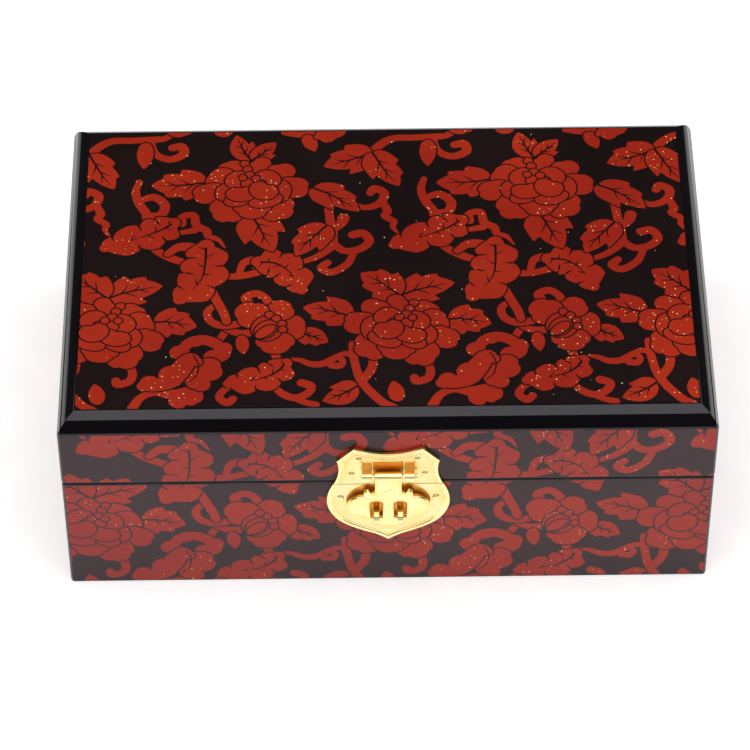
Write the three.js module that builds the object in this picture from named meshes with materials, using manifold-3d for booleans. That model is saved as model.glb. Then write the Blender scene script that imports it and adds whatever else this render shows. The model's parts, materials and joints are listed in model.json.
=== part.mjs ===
// A lacquered jewellery box: a mitred case, a hinged mirror lid, a shield hasp and a lift-out tray.
// Millimetres, +Z up. The front faces -Y, and the origin is the centre of the underside.
import * as THREE from "three";
import { mergeVertices } from "three/addons/utils/BufferGeometryUtils.js";
import Module from "manifold-3d";

const wasm = await Module();
wasm.setup();

// Driving dimensions of the case
const LID_WIDTH = 250;
const LID_DEPTH = 163;
const TOTAL_HEIGHT = 94;
const BASE_HEIGHT = 58.65;
const LID_OVERHANG = 0.05;
const SEAM_GAP = 0.5;
const WALL = 10;
const FIT_GAP = 0.3; // between pieces that touch

const BASE_WIDTH = LID_WIDTH - 2 * LID_OVERHANG;
const BASE_DEPTH = LID_DEPTH - 2 * LID_OVERHANG;
const LID_BOTTOM = BASE_HEIGHT + SEAM_GAP;
const SEAM = BASE_HEIGHT + SEAM_GAP / 2;

// The lid's top board and its rounded edge
const TOP_BOARD = 7.2;
const EDGE_INSET = 7;
const EDGE_CROWN = 1.4; // how far the edge's arc stands out over its chord
const TONGUE = 2.5; // how far the top board drops between the walls
const LID_WALL_HEIGHT = TOTAL_HEIGHT - TOP_BOARD - FIT_GAP - LID_BOTTOM;

// The floor board sits flush in a rebate round the walls' inner lower edge
const FLOOR_BOARD = 6;
const FLOOR_REBATE = 4.5;

// Back hinges: the pin lies inside the back face, and bevelled back edges stop the lid
const AXIS_INSET = 3;
const STOP_BEVEL = THREE.MathUtils.degToRad(50.5);
const HINGE_AXIS_Y = LID_DEPTH / 2 - AXIS_INSET;
const HINGE_SPACING = 150;
const HINGE_LENGTH = 34;
const HINGE_KNUCKLES = 5;
const KNUCKLE_GAP = 0.25;
const BARREL_RADIUS = 2.1;
const HINGE_BORE = 1.15;
const HINGE_PIN = 1;
const LEAF_THICKNESS = 1.4;
const LEAF_MARGIN = 0.4; // from the wall's inner face
const SCREW_SPACING = 22;
const SCREW_HEAD = 1.55;
const SCREW_SHANK = 0.8;
const SCREW_LENGTH = 7.5;
const SCREW_SLOT = 0.45;

// Velvet-covered card inside the case and the lid
const LINING = 1.5;
const FLOOR_PAD = 2.5;
const LINING_BELOW_RIM = 2;
const LEDGE_WIDTH = 4;
const LEDGE_LENGTH = 120;

// Mirror in the lid
const MIRROR_WIDTH = 190;
const MIRROR_DEPTH = 102;
const MIRROR_GLASS = 2.3;
const MIRROR_FRAME = 8; // width of the frame's moulding
const MIRROR_LIP = 3; // how far it laps over the glass
const MIRROR_LIP_THICKNESS = 1.3;

// Lift-out tray
const TRAY_CLEARANCE = 0.95;
const TRAY_BOTTOM = 33.5;
const TRAY_TOP = 57;
const TRAY_WALL = 3;
const TRAY_FLOOR = 2.5;
const DIVIDER = 2.4;
const DIVIDER_BELOW_TOP = 1;
const LONG_DIVIDER_Y = 2;
const CROSS_DIVIDER_X = 37;
const RING_ROLLS = 5;
const ROLL_HEIGHT = 16;

// Hasp, drawn in its own frame: x along the box, y up from the seam, z out of the front face
const PLATE = 1.2;
const PLATE_SPLIT = 0.2; // from the seam to either plate's edge
const SHIELD_REACH = 40; // a size beyond the whole shield
const RIM_WIDTH = 1.8;
const RIM_HEIGHT = 1.7;
const HASP_AXIS_Y = 6.8;
const HASP_AXIS_Z = 3.6;
const HASP_KNUCKLE = 2;
const HASP_BORE = 1.05;
const HASP_PIN = 0.85;
const PIN_PROUD = 0.5;
const PIN_HEAD = 1.45;
const PIN_HEAD_THICKNESS = 0.8;
const FLAP_KNUCKLE_HALF = 5.2;
const FLAP_BACK = 2;
const LUG_INNER = 6.2;
const LUG_OUTER = 10.1;
const LUG_TOP = 14.3;
const LUG_MEET = 35; // degrees above the pin where the slope runs into the roll
const STAPLE_X = 4.6;
const STAPLE_Y = -14.3;
const STAPLE_HALF_HEIGHT = 3;
const STAPLE_THICKNESS = 2.3;
const STAPLE_REACH = 8.8;
const STAPLE_TAIL = 6;
const STAPLE_EYE = 1.4;
const STAPLE_EYE_MARGIN = 0.5; // from the flap's face to the eye
const SLOT_HALF_WIDTH = 2.35;
const SLOT_TOP = -8.05;
const SLOT_BOTTOM = -17.75;
const SLOT_CORNER = 1.2;
const HOLLOW_WIDTH = 6.2;
const HOLLOW_HEIGHT = 5.2;
const HOLLOW_DEPTH = 0.3;
const HOLLOW_X = 11.6;
const HOLLOW_Y = -11.2;
const NAIL_HEAD = 1.45;
const NAIL_SHANK = 0.6;
const NAIL_LENGTH = 8;
const NAIL_CROWN = 0.8;
const UPPER_NAILS = [[-11.2, 13.9], [11.2, 13.9], [-14, 5.5], [14, 5.5]];
const LOWER_NAILS = [[-18.4, -8], [18.4, -8]];

const SIDES = 20; // facets round a barrel or pin
const SMALL_SIDES = 12; // facets round a nail or screw
const OUTLINE_STEPS = 7; // points along each curve of the hasp's outlines
const CURVE_STEPS = 10; // facets along each arc of an extruded shape
const MERGE_DISTANCE = 1e-3;

const blackLacquer = new THREE.MeshStandardMaterial({ color: 0x141013, roughness: 0.08, metalness: 0 });
const gilt = new THREE.MeshStandardMaterial({ color: 0xf2c14e, roughness: 0.18, metalness: 1 });
const velvet = new THREE.MeshStandardMaterial({ color: 0x7d1018, roughness: 0.95, metalness: 0 });
const silvered = new THREE.MeshStandardMaterial({ color: 0xe8ecee, roughness: 0.02, metalness: 1 });

// A manifold-3d solid from a closed geometry.
function solidFrom(geometry) {
  const loose = geometry.index ? geometry.toNonIndexed() : geometry;
  const bare = new THREE.BufferGeometry().setAttribute("position", loose.getAttribute("position"));
  const merged = mergeVertices(bare, MERGE_DISTANCE);
  return new wasm.Manifold(
    new wasm.Mesh({
      numProp: 3,
      vertProperties: merged.attributes.position.array,
      triVerts: new Uint32Array(merged.index.array),
    }),
  );
}

function geometryFrom(solid) {
  const made = solid.getMesh();
  const geometry = new THREE.BufferGeometry()
    .setAttribute("position", new THREE.BufferAttribute(made.vertProperties, 3))
    .setIndex(new THREE.BufferAttribute(made.triVerts, 1))
    .toNonIndexed();
  geometry.computeVertexNormals();
  return geometry;
}

function cut(body, ...tools) {
  return geometryFrom(tools.reduce((left, tool) => left.subtract(solidFrom(tool)), solidFrom(body)));
}

function join(first, ...others) {
  return geometryFrom(others.reduce((whole, other) => whole.add(solidFrom(other)), solidFrom(first)));
}

function common(first, second) {
  return geometryFrom(solidFrom(first).intersect(solidFrom(second)));
}

// A box between two corners.
function block(x0, x1, y0, y1, z0, z1) {
  const box = new THREE.BoxGeometry(x1 - x0, y1 - y0, z1 - z0);
  return box.translate((x0 + x1) / 2, (y0 + y1) / 2, (z0 + z1) / 2);
}

// A round bar along X.
function rod(radius, x0, x1, y, z, sides = SIDES) {
  return new THREE.CylinderGeometry(radius, radius, x1 - x0, sides)
    .rotateZ(Math.PI / 2)
    .translate((x0 + x1) / 2, y, z);
}

// A solid of revolution about Z from radius and height pairs that start and end on the axis.
function turned(profile) {
  const points = profile.map(([radius, height]) => new THREE.Vector2(radius, height));
  return new THREE.LatheGeometry(points, SMALL_SIDES).rotateX(Math.PI / 2);
}

// A round hole along Z, from one height to another.
function hole(radius, x, y, z0, z1) {
  return new THREE.CylinderGeometry(radius, radius, z1 - z0, SMALL_SIDES)
    .rotateX(Math.PI / 2)
    .translate(x, y, (z0 + z1) / 2);
}

function prism(shape, depth) {
  return new THREE.ExtrudeGeometry(shape, { depth, bevelEnabled: false, curveSegments: CURVE_STEPS });
}

function polygon(points) {
  return new THREE.Shape(points.map(([x, y]) => new THREE.Vector2(x, y)));
}

// A board of a mitred frame. The profile gives distance in from the outer face, and height.
function mitredBoard(profile, length) {
  const board = prism(polygon(profile), 1);
  const place = board.getAttribute("position");
  for (let i = 0; i < place.count; i++) {
    const inward = place.getX(i);
    const end = (length - FIT_GAP) / 2 - inward;
    place.setXYZ(i, place.getZ(i) > 0.5 ? end : -end, inward, place.getY(i));
  }
  return board;
}

// A group that turns one side's frame (outer face on y = 0, inward along +y) onto each side of the case.
function sideFrames(width, depth, z) {
  const sides = {
    front: [0, -depth / 2, 0],
    right: [width / 2, 0, Math.PI / 2],
    back: [0, depth / 2, Math.PI],
    left: [-width / 2, 0, -Math.PI / 2],
  };
  return Object.entries(sides).map(([side, [x, y, turn]]) => {
    const group = new THREE.Group();
    group.position.set(x, y, z);
    group.rotation.z = turn;
    return { side, group, length: side === "front" || side === "back" ? width : depth };
  });
}

function part(name, geometry, material) {
  const mesh = new THREE.Mesh(geometry, material);
  mesh.name = name;
  return mesh;
}

// Holes for the nails of one plate, through the plate and into the board.
function nailHoles(places) {
  return places.map(([x, y]) => hole(NAIL_SHANK + FIT_GAP, x, y, -NAIL_LENGTH, 2 * PLATE));
}

// The holes and slots that the hasp's fittings need in one front board, in the hasp's frame.
function frontPockets(upper) {
  if (upper) return nailHoles(UPPER_NAILS);
  return [...nailHoles(LOWER_NAILS), stapleSlot(-STAPLE_X), stapleSlot(STAPLE_X)];
}

// The slot that a staple's tail goes through, in the lower plate and the front board.
function stapleSlot(x) {
  const half = STAPLE_THICKNESS / 2 + FIT_GAP;
  const tall = STAPLE_HALF_HEIGHT + FIT_GAP;
  return block(x - half, x + half, STAPLE_Y - tall, STAPLE_Y + tall, -STAPLE_TAIL - FIT_GAP, PLATE + 1);
}

// From the hasp's frame into a front board's frame, whose z is measured from the board's foot.
function ontoFront(geometry, foot) {
  return geometry.rotateX(Math.PI / 2).translate(0, 0, SEAM - foot);
}

const hingeCentres = { left: -HINGE_SPACING / 2, right: HINGE_SPACING / 2 };
const screwOffsets = [-SCREW_SPACING / 2, SCREW_SPACING / 2];
const leafFront = LID_DEPTH / 2 - WALL + LEAF_MARGIN;
const leafBack = HINGE_AXIS_Y - BARREL_RADIUS - FIT_GAP;
const screwY = (leafFront + leafBack) / 2;
const IN_BASE = -1;
const IN_LID = 1;

// The lower and upper height of a leaf that lies on its board's face at the seam.
function leafHeights(side) {
  const face = SEAM + (side * SEAM_GAP) / 2;
  return [face, face + side * LEAF_THICKNESS].sort((a, b) => a - b);
}

// The mortises for both leaves of a hinge, its barrel and its screws.
function hingeMortise(x) {
  const half = HINGE_LENGTH / 2 + FIT_GAP;
  const depth = SEAM_GAP / 2 + LEAF_THICKNESS + FIT_GAP;
  const pocket = block(x - half, x + half, leafFront - FIT_GAP, HINGE_AXIS_Y, SEAM - depth, SEAM + depth);
  const barrel = rod(BARREL_RADIUS + FIT_GAP, x - half, x + half, HINGE_AXIS_Y, SEAM);
  const deep = SCREW_LENGTH + SEAM_GAP;
  const holes = screwOffsets.map((offset) =>
    hole(SCREW_SHANK + FIT_GAP, x + offset, screwY, SEAM - deep, SEAM + deep),
  );
  return [pocket, barrel, ...holes];
}

// The wedge that bevels the boards' edges behind the hinge axis, so that the open lid stops there.
function stopWedge(side) {
  const reach = 2 * AXIS_INSET;
  const face = (side * SEAM_GAP) / 2;
  const slope = side * reach * Math.tan(STOP_BEVEL);
  const section = polygon([[0, -side], [0, face], [reach, face + slope], [reach, -side]]);
  const length = LID_WIDTH + 2;
  return prism(section, length)
    .rotateX(Math.PI / 2)
    .rotateZ(Math.PI / 2)
    .translate(-length / 2, HINGE_AXIS_Y, SEAM);
}

// What is cut out of the back and side boards: the bevel, and at the back the hinge mortises.
function boardTools(board, side) {
  const mortises = board === "back" ? Object.values(hingeCentres).flatMap(hingeMortise) : [];
  return [stopWedge(side), ...mortises];
}

// Cuts a board with tools that are given where they are in the box.
function cutInPlace(board, frame, tools) {
  frame.updateMatrix();
  const intoFrame = frame.matrix.clone().invert();
  return cut(board, ...tools.map((tool) => tool.applyMatrix4(intoFrame)));
}

function baseBoards() {
  const group = new THREE.Group();
  const rebate = FLOOR_BOARD + FIT_GAP;
  const inside = [[0, 0], [FLOOR_REBATE, 0], [FLOOR_REBATE, rebate], [WALL, rebate], [WALL, BASE_HEIGHT]];
  const profile = [...inside, [0, BASE_HEIGHT]];
  for (const { side, group: frame, length } of sideFrames(BASE_WIDTH, BASE_DEPTH, 0)) {
    const whole = mitredBoard(profile, length);
    const board =
      side === "front"
        ? cut(whole, ...frontPockets(false).map((tool) => ontoFront(tool, 0)))
        : cutInPlace(whole, frame, boardTools(side, IN_BASE));
    frame.add(part(`base_${side}_board`, board, blackLacquer));
    group.add(frame);
  }
  const halfWidth = BASE_WIDTH / 2 - FLOOR_REBATE - FIT_GAP;
  const halfDepth = BASE_DEPTH / 2 - FLOOR_REBATE - FIT_GAP;
  const floor = block(-halfWidth, halfWidth, -halfDepth, halfDepth, 0, FLOOR_BOARD);
  group.add(part("base_floor_board", floor, blackLacquer));
  return group;
}

function lidBoards() {
  const group = new THREE.Group();
  const profile = [[0, 0], [WALL, 0], [WALL, LID_WALL_HEIGHT], [0, LID_WALL_HEIGHT]];
  for (const { side, group: frame, length } of sideFrames(LID_WIDTH, LID_DEPTH, LID_BOTTOM)) {
    const whole = mitredBoard(profile, length);
    const board =
      side === "front"
        ? cut(whole, ...frontPockets(true).map((tool) => ontoFront(tool, LID_BOTTOM)))
        : cutInPlace(whole, frame, boardTools(side, IN_LID));
    frame.add(part(`lid_${side}_board`, board, blackLacquer));
    group.add(frame);
  }
  group.add(part("lid_top_board", topBoard(), blackLacquer));
  return group;
}

// The cross-section of the top board: flat below, with both upper edges rounded over from face to face.
function topBoardProfile(width) {
  const halfChord = Math.hypot(EDGE_INSET, TOP_BOARD) / 2;
  const radius = (halfChord ** 2 + EDGE_CROWN ** 2) / (2 * EDGE_CROWN);
  const middle = Math.atan2(EDGE_INSET, TOP_BOARD);
  const half = Math.asin(halfChord / radius);
  const centreX = width / 2 - radius * Math.cos(middle - half);
  const centreZ = TOTAL_HEIGHT - TOP_BOARD - radius * Math.sin(middle - half);
  const shape = new THREE.Shape();
  shape.absarc(centreX, centreZ, radius, middle - half, middle + half, false);
  shape.absarc(-centreX, centreZ, radius, Math.PI - middle - half, Math.PI - middle + half, false);
  return shape;
}

// Two extrusions at right angles meet in mitred, rounded edges all round.
function topBoard() {
  const along = (width, length) =>
    prism(topBoardProfile(width), length).translate(0, 0, -length / 2).rotateX(Math.PI / 2);
  const lengthwise = along(LID_DEPTH, LID_WIDTH + 2).rotateZ(Math.PI / 2);
  const crosswise = along(LID_WIDTH, LID_DEPTH + 2);
  const halfWidth = LID_WIDTH / 2 - WALL - FIT_GAP;
  const halfDepth = LID_DEPTH / 2 - WALL - FIT_GAP;
  const underside = TOTAL_HEIGHT - TOP_BOARD;
  const tongue = block(-halfWidth, halfWidth, -halfDepth, halfDepth, underside - TONGUE, underside + 1);
  return join(common(lengthwise, crosswise), tongue);
}

// Four upright lining panels: the long ones run full length, and the short ones fit between them.
function liningPanels(prefix, width, depth, bottom, top) {
  const group = new THREE.Group();
  for (const { side, group: frame, length } of sideFrames(width, depth, bottom)) {
    const isLong = side === "front" || side === "back";
    const inset = isLong ? FIT_GAP : LINING + 2 * FIT_GAP;
    const half = length / 2 - inset;
    const panel = block(-half, half, FIT_GAP, FIT_GAP + LINING, 0, top - bottom);
    frame.add(part(`${prefix}_${side}_lining`, panel, velvet));
    group.add(frame);
  }
  return group;
}

const baseInnerWidth = BASE_WIDTH - 2 * WALL;
const baseInnerDepth = BASE_DEPTH - 2 * WALL;
const padTop = FLOOR_BOARD + FIT_GAP + FLOOR_PAD;

function baseLinings() {
  const group = new THREE.Group();
  const halfWidth = baseInnerWidth / 2 - FIT_GAP;
  const halfDepth = baseInnerDepth / 2 - FIT_GAP;
  const pad = block(-halfWidth, halfWidth, -halfDepth, halfDepth, FLOOR_BOARD + FIT_GAP, padTop);
  group.add(part("base_floor_pad", pad, velvet));
  const rim = BASE_HEIGHT - LINING_BELOW_RIM;
  group.add(liningPanels("base", baseInnerWidth, baseInnerDepth, padTop + FIT_GAP, rim));
  const outer = halfWidth - LINING - FIT_GAP;
  for (const [side, sign] of [["left", -1], ["right", 1]]) {
    const [a, b] = [sign * outer, sign * (outer - LEDGE_WIDTH)];
    const ledge = block(
      Math.min(a, b), Math.max(a, b),
      -LEDGE_LENGTH / 2, LEDGE_LENGTH / 2,
      padTop + FIT_GAP, TRAY_BOTTOM - FIT_GAP,
    );
    group.add(part(`tray_ledge_${side}`, ledge, velvet));
  }
  return group;
}

// The mirror's outline grown by a margin, between two heights.
function grownMirror(margin, z0, z1) {
  const [halfWidth, halfDepth] = [MIRROR_WIDTH / 2 + margin, MIRROR_DEPTH / 2 + margin];
  return block(-halfWidth, halfWidth, -halfDepth, halfDepth, z0, z1);
}

function lidInside() {
  const group = new THREE.Group();
  const ceiling = TOTAL_HEIGHT - TOP_BOARD - TONGUE - FIT_GAP;
  const width = LID_WIDTH - 2 * WALL;
  const depth = LID_DEPTH - 2 * WALL;
  const [halfWidth, halfDepth] = [width / 2 - FIT_GAP, depth / 2 - FIT_GAP];
  const card = block(-halfWidth, halfWidth, -halfDepth, halfDepth, ceiling - LINING, ceiling);
  group.add(part("lid_top_lining", card, velvet));
  const below = ceiling - LINING - FIT_GAP;
  group.add(liningPanels("lid", width, depth, LID_BOTTOM + 1, below));

  const glassBottom = below - MIRROR_GLASS;
  const glass = grownMirror(0, glassBottom, below);
  group.add(part("mirror_glass", glass, silvered));
  const frameBottom = glassBottom - FIT_GAP - MIRROR_LIP_THICKNESS;
  const frame = cut(
    grownMirror(MIRROR_FRAME - MIRROR_LIP, frameBottom, below),
    grownMirror(FIT_GAP, glassBottom - FIT_GAP, below + 1),
    grownMirror(-MIRROR_LIP, frameBottom - 1, below + 1),
  );
  group.add(part("mirror_frame", frame, velvet));
  return group;
}

// Knuckles are counted from the left, from 0. The base has the even ones and the lid the odd ones.
function hingeLeaf(x, side) {
  const pitch = HINGE_LENGTH / HINGE_KNUCKLES;
  const left = x - HINGE_LENGTH / 2;
  const heights = leafHeights(side);
  const knuckles = [];
  for (let k = side === IN_BASE ? 0 : 1; k < HINGE_KNUCKLES; k += 2) {
    const [a, b] = [left + k * pitch + KNUCKLE_GAP / 2, left + (k + 1) * pitch - KNUCKLE_GAP / 2];
    knuckles.push(rod(BARREL_RADIUS, a, b, HINGE_AXIS_Y, SEAM));
    knuckles.push(block(a, b, screwY, HINGE_AXIS_Y, ...heights));
  }
  const plate = block(left, left + HINGE_LENGTH, leafFront, leafBack, ...heights);
  const bore = rod(HINGE_BORE, left, left + HINGE_LENGTH, HINGE_AXIS_Y, SEAM);
  const face = SEAM + (side * SEAM_GAP) / 2;
  const sinks = screwOffsets.map((offset) => screwBody(side, FIT_GAP).translate(x + offset, screwY, face));
  return cut(join(plate, ...knuckles), bore, ...sinks);
}

// A countersunk screw with its head's face at the seam, or with a gap the hole that clears it.
function screwBody(side, gap = 0) {
  const head = SCREW_HEAD + gap;
  const shank = SCREW_SHANK + gap;
  const mouth = gap > 0 ? [[0, -gap], [head, -gap]] : [[0, 0]];
  const tip = [[shank, SCREW_LENGTH - SCREW_HEAD], [0, SCREW_LENGTH]];
  const screw = turned([...mouth, [head, 0], [shank, head - shank], ...tip]);
  return side === IN_BASE ? screw.rotateX(Math.PI) : screw;
}

function hingeScrew(side) {
  const [half, deep] = [SCREW_SLOT / 2, SCREW_SLOT];
  const slot = block(-2 * SCREW_HEAD, 2 * SCREW_HEAD, -half, half, -deep, deep);
  return cut(screwBody(side), slot);
}

function hinges(side) {
  const group = new THREE.Group();
  const body = side === IN_BASE ? "base" : "lid";
  for (const [name, x] of Object.entries(hingeCentres)) {
    group.add(part(`hinge_${name}_${body}_leaf`, hingeLeaf(x, side), gilt));
    screwOffsets.forEach((offset, i) => {
      const screw = part(`hinge_${name}_${body}_screw_${i + 1}`, hingeScrew(side), gilt);
      screw.position.set(x + offset, screwY, SEAM + (side * SEAM_GAP) / 2);
      group.add(screw);
    });
  }
  return group;
}

function hingePins() {
  const group = new THREE.Group();
  for (const [name, x] of Object.entries(hingeCentres)) {
    const half = HINGE_LENGTH / 2 - KNUCKLE_GAP;
    group.add(part(`hinge_${name}_pin`, rod(HINGE_PIN, x - half, x + half, HINGE_AXIS_Y, SEAM), gilt));
  }
  return group;
}

// The right half of the shield, from the dip at the top to the point at the bottom, then mirrored.
function shieldOutline() {
  const half = new THREE.Path();
  half.moveTo(0, 16.9);
  half.quadraticCurveTo(7, 17, 13, 20.5);
  half.quadraticCurveTo(16, 17.4, 19.7, 13.2);
  half.bezierCurveTo(18.9, 10.5, 18.4, 5.2, 21.05, 0);
  half.bezierCurveTo(24.4, -6, 24.9, -13, 20.9, -19.1);
  half.bezierCurveTo(18.6, -23.4, 11.5, -26.9, 5.5, -29.4);
  half.quadraticCurveTo(2.6, -30.9, 0, -33.1);
  return mirrored(half.getPoints(OUTLINE_STEPS));
}

// Closes a right half, whose first and last points are on the centre line, with its mirror image.
function mirrored(right) {
  const left = right.slice(1, -1).reverse().map(({ x, y }) => new THREE.Vector2(-x, y));
  return [...right, ...left];
}

// Moves a clockwise outline inwards by a distance, and drops the points that fold over near its corners.
function insetOutline(points, distance) {
  const corners = points.map(({ x, y }) => new THREE.Vector3(x, y, 0));
  const edges = corners.map((corner, i) => new THREE.Line3(corner, corners[(i + 1) % corners.length]));
  const inward = ({ start, end }) => new THREE.Vector3(end.y - start.y, start.x - end.x, 0).normalize();
  const moved = corners.map((corner, i) => {
    const [n1, n2] = [inward(edges.at(i - 1)), inward(edges[i])];
    const mitre = n1.clone().add(n2).normalize();
    return corner.clone().addScaledVector(mitre, distance / mitre.dot(n1));
  });
  const foot = new THREE.Vector3();
  const away = (point, edge) => edge.closestPointToPoint(point, true, foot).distanceTo(point);
  return moved.filter((point) => edges.every((edge) => away(point, edge) > 0.97 * distance));
}

// The whole shield before it is parted at the seam: a flat plate with a raised rim.
function shieldPlate() {
  const outline = shieldOutline();
  const rim = new THREE.Shape(outline);
  rim.holes.push(new THREE.Path(insetOutline(outline, RIM_WIDTH).reverse()));
  return join(prism(new THREE.Shape(outline), PLATE), prism(rim, RIM_HEIGHT));
}

// The part of the shield above or below the seam.
function halfShield(upper) {
  const [y0, y1] = upper ? [PLATE_SPLIT, SHIELD_REACH] : [-SHIELD_REACH, -PLATE_SPLIT];
  return common(shieldPlate(), block(-SHIELD_REACH, SHIELD_REACH, y0, y1, 0, SHIELD_REACH));
}

// A lug of the hasp's hinge: a strap that slopes out of the plate and rolls round the pin.
function lug(sign) {
  const [a, b] = [sign * LUG_INNER, sign * LUG_OUTER].sort((p, q) => p - q);
  const meet = THREE.MathUtils.degToRad(LUG_MEET);
  const out = HASP_AXIS_Z + HASP_KNUCKLE * Math.cos(meet);
  const up = HASP_AXIS_Y + HASP_KNUCKLE * Math.sin(meet);
  const side = new THREE.Shape(); // x runs out of the plate
  side.moveTo(PLATE / 2, LUG_TOP);
  side.quadraticCurveTo(HASP_AXIS_Z, (LUG_TOP + up) / 2, out, up);
  side.absarc(HASP_AXIS_Z, HASP_AXIS_Y, HASP_KNUCKLE, meet, -Math.PI / 2, true);
  side.lineTo(PLATE / 2, HASP_AXIS_Y - HASP_KNUCKLE);
  return prism(side, b - a).rotateY(-Math.PI / 2).translate(b, 0, 0);
}

// The upper nails' heads bite into the lugs' straps a little, so each strap is cut clear of them.
function haspUpperPlate() {
  const bore = rod(HASP_BORE, -2 * LUG_OUTER, 2 * LUG_OUTER, HASP_AXIS_Y, HASP_AXIS_Z);
  const heads = UPPER_NAILS.map(([x, y]) => hole(NAIL_HEAD + FIT_GAP, x, y, PLATE, HASP_AXIS_Z));
  return cut(join(halfShield(true), lug(-1), lug(1)), bore, ...heads, ...nailHoles(UPPER_NAILS));
}

function haspLowerPlate() {
  return cut(halfShield(false), ...nailHoles(LOWER_NAILS), stapleSlot(-STAPLE_X), stapleSlot(STAPLE_X));
}

// The cloud-edged flap, right half from the shank down to the thumb tongue, then mirrored.
function flapOutline() {
  const half = new THREE.Path();
  half.moveTo(0, HASP_AXIS_Y);
  half.lineTo(FLAP_KNUCKLE_HALF, HASP_AXIS_Y);
  half.lineTo(FLAP_KNUCKLE_HALF, -3.1);
  half.quadraticCurveTo(6.9, -3.5, 7.1, -2.1);
  half.bezierCurveTo(8.3, -1.2, 9.9, -3, 9.6, -5.2);
  half.bezierCurveTo(13.2, -4.9, 16.4, -8.6, 16, -12.4);
  half.bezierCurveTo(15.6, -15.8, 12, -16.2, 9.7, -16.6);
  half.quadraticCurveTo(8.6, -19.4, 6, -20.2);
  half.quadraticCurveTo(4.1, -20.6, 3.7, -22.6);
  half.bezierCurveTo(3.8, -26, 2.2, -26.8, 0, -26.8);
  return mirrored(half.getPoints(OUTLINE_STEPS));
}

// A slot through the flap, with its upper corners rounded.
function flapSlot(x) {
  const [a, b] = [x - SLOT_HALF_WIDTH, x + SLOT_HALF_WIDTH];
  const corner = SLOT_TOP - SLOT_CORNER;
  const slot = new THREE.Shape();
  slot.moveTo(a, SLOT_BOTTOM);
  slot.lineTo(b, SLOT_BOTTOM);
  slot.absarc(b - SLOT_CORNER, corner, SLOT_CORNER, 0, Math.PI / 2, false);
  slot.absarc(a + SLOT_CORNER, corner, SLOT_CORNER, Math.PI / 2, Math.PI, false);
  return prism(slot, 2 * HASP_AXIS_Z);
}

// A shallow oval hollow pressed into one wing of the flap.
function wingHollow(sign) {
  return new THREE.CylinderGeometry(1, 1, 1, SIDES)
    .rotateX(Math.PI / 2)
    .scale(HOLLOW_WIDTH / 2, HOLLOW_HEIGHT / 2, 2 * HOLLOW_DEPTH)
    .translate(sign * HOLLOW_X, HOLLOW_Y, HASP_AXIS_Z);
}

function haspFlap() {
  const plate = prism(new THREE.Shape(flapOutline()), HASP_AXIS_Z - FLAP_BACK).translate(0, 0, FLAP_BACK);
  const knuckle = rod(HASP_KNUCKLE, -FLAP_KNUCKLE_HALF, FLAP_KNUCKLE_HALF, HASP_AXIS_Y, HASP_AXIS_Z);
  const bore = rod(HASP_BORE, -LUG_OUTER, LUG_OUTER, HASP_AXIS_Y, HASP_AXIS_Z);
  const slots = [flapSlot(-STAPLE_X), flapSlot(STAPLE_X)];
  return cut(join(plate, knuckle), bore, wingHollow(-1), wingHollow(1), ...slots);
}

// A staple drawn from the side: a tail in the wood, and in front of the flap an eye for a padlock's shackle.
function staple() {
  const round = STAPLE_REACH - STAPLE_HALF_HEIGHT;
  const eyeBack = HASP_AXIS_Z + STAPLE_EYE_MARGIN + STAPLE_EYE;
  const side = new THREE.Shape();
  side.moveTo(-STAPLE_TAIL, -STAPLE_HALF_HEIGHT);
  side.absarc(round, 0, STAPLE_HALF_HEIGHT, -Math.PI / 2, Math.PI / 2, false);
  side.lineTo(-STAPLE_TAIL, STAPLE_HALF_HEIGHT);
  const eye = new THREE.Path();
  eye.absarc(round, 0, STAPLE_EYE, -Math.PI / 2, Math.PI / 2, false);
  eye.absarc(eyeBack, 0, STAPLE_EYE, Math.PI / 2, (3 * Math.PI) / 2, false);
  side.holes.push(eye);
  return prism(side, STAPLE_THICKNESS).translate(0, 0, -STAPLE_THICKNESS / 2).rotateY(-Math.PI / 2);
}

function nail() {
  const [edge, crown] = [NAIL_CROWN / 3, 0.65 * NAIL_HEAD];
  const shank = [[0, -NAIL_LENGTH], [NAIL_SHANK, NAIL_HEAD - NAIL_LENGTH], [NAIL_SHANK, 0]];
  return turned([...shank, [NAIL_HEAD, 0], [NAIL_HEAD, edge], [crown, 0.85 * NAIL_CROWN], [0, NAIL_CROWN]]);
}

// The pin of the hasp's hinge, with a flat head at its right end.
function haspPin() {
  const shank = rod(HASP_PIN, -LUG_OUTER - PIN_PROUD, LUG_OUTER + PIN_PROUD, 0, 0);
  return join(shank, rod(PIN_HEAD, LUG_OUTER + FIT_GAP, LUG_OUTER + FIT_GAP + PIN_HEAD_THICKNESS, 0, 0));
}

// Everything of the hasp, in a frame on the front face at the seam.
function hasp() {
  const group = new THREE.Group();
  group.position.set(0, -LID_DEPTH / 2 - FIT_GAP, SEAM);
  group.rotation.x = Math.PI / 2;
  group.add(part("hasp_upper_plate", haspUpperPlate(), gilt));
  group.add(part("hasp_lower_plate", haspLowerPlate(), gilt));
  group.add(part("hasp_flap", haspFlap(), gilt));
  const pin = part("hasp_pin", haspPin(), gilt);
  pin.position.set(0, HASP_AXIS_Y, HASP_AXIS_Z);
  group.add(pin);
  for (const [side, x] of [["left", -STAPLE_X], ["right", STAPLE_X]]) {
    const loop = part(`hasp_staple_${side}`, staple(), gilt);
    loop.position.set(x, STAPLE_Y, 0);
    group.add(loop);
  }
  const nails = { upper: UPPER_NAILS, lower: LOWER_NAILS };
  for (const [plate, places] of Object.entries(nails)) {
    places.forEach(([x, y], i) => {
      const driven = part(`${plate}_plate_nail_${i + 1}`, nail(), gilt);
      driven.position.set(x, y, PLATE + FIT_GAP);
      group.add(driven);
    });
  }
  return group;
}

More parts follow.
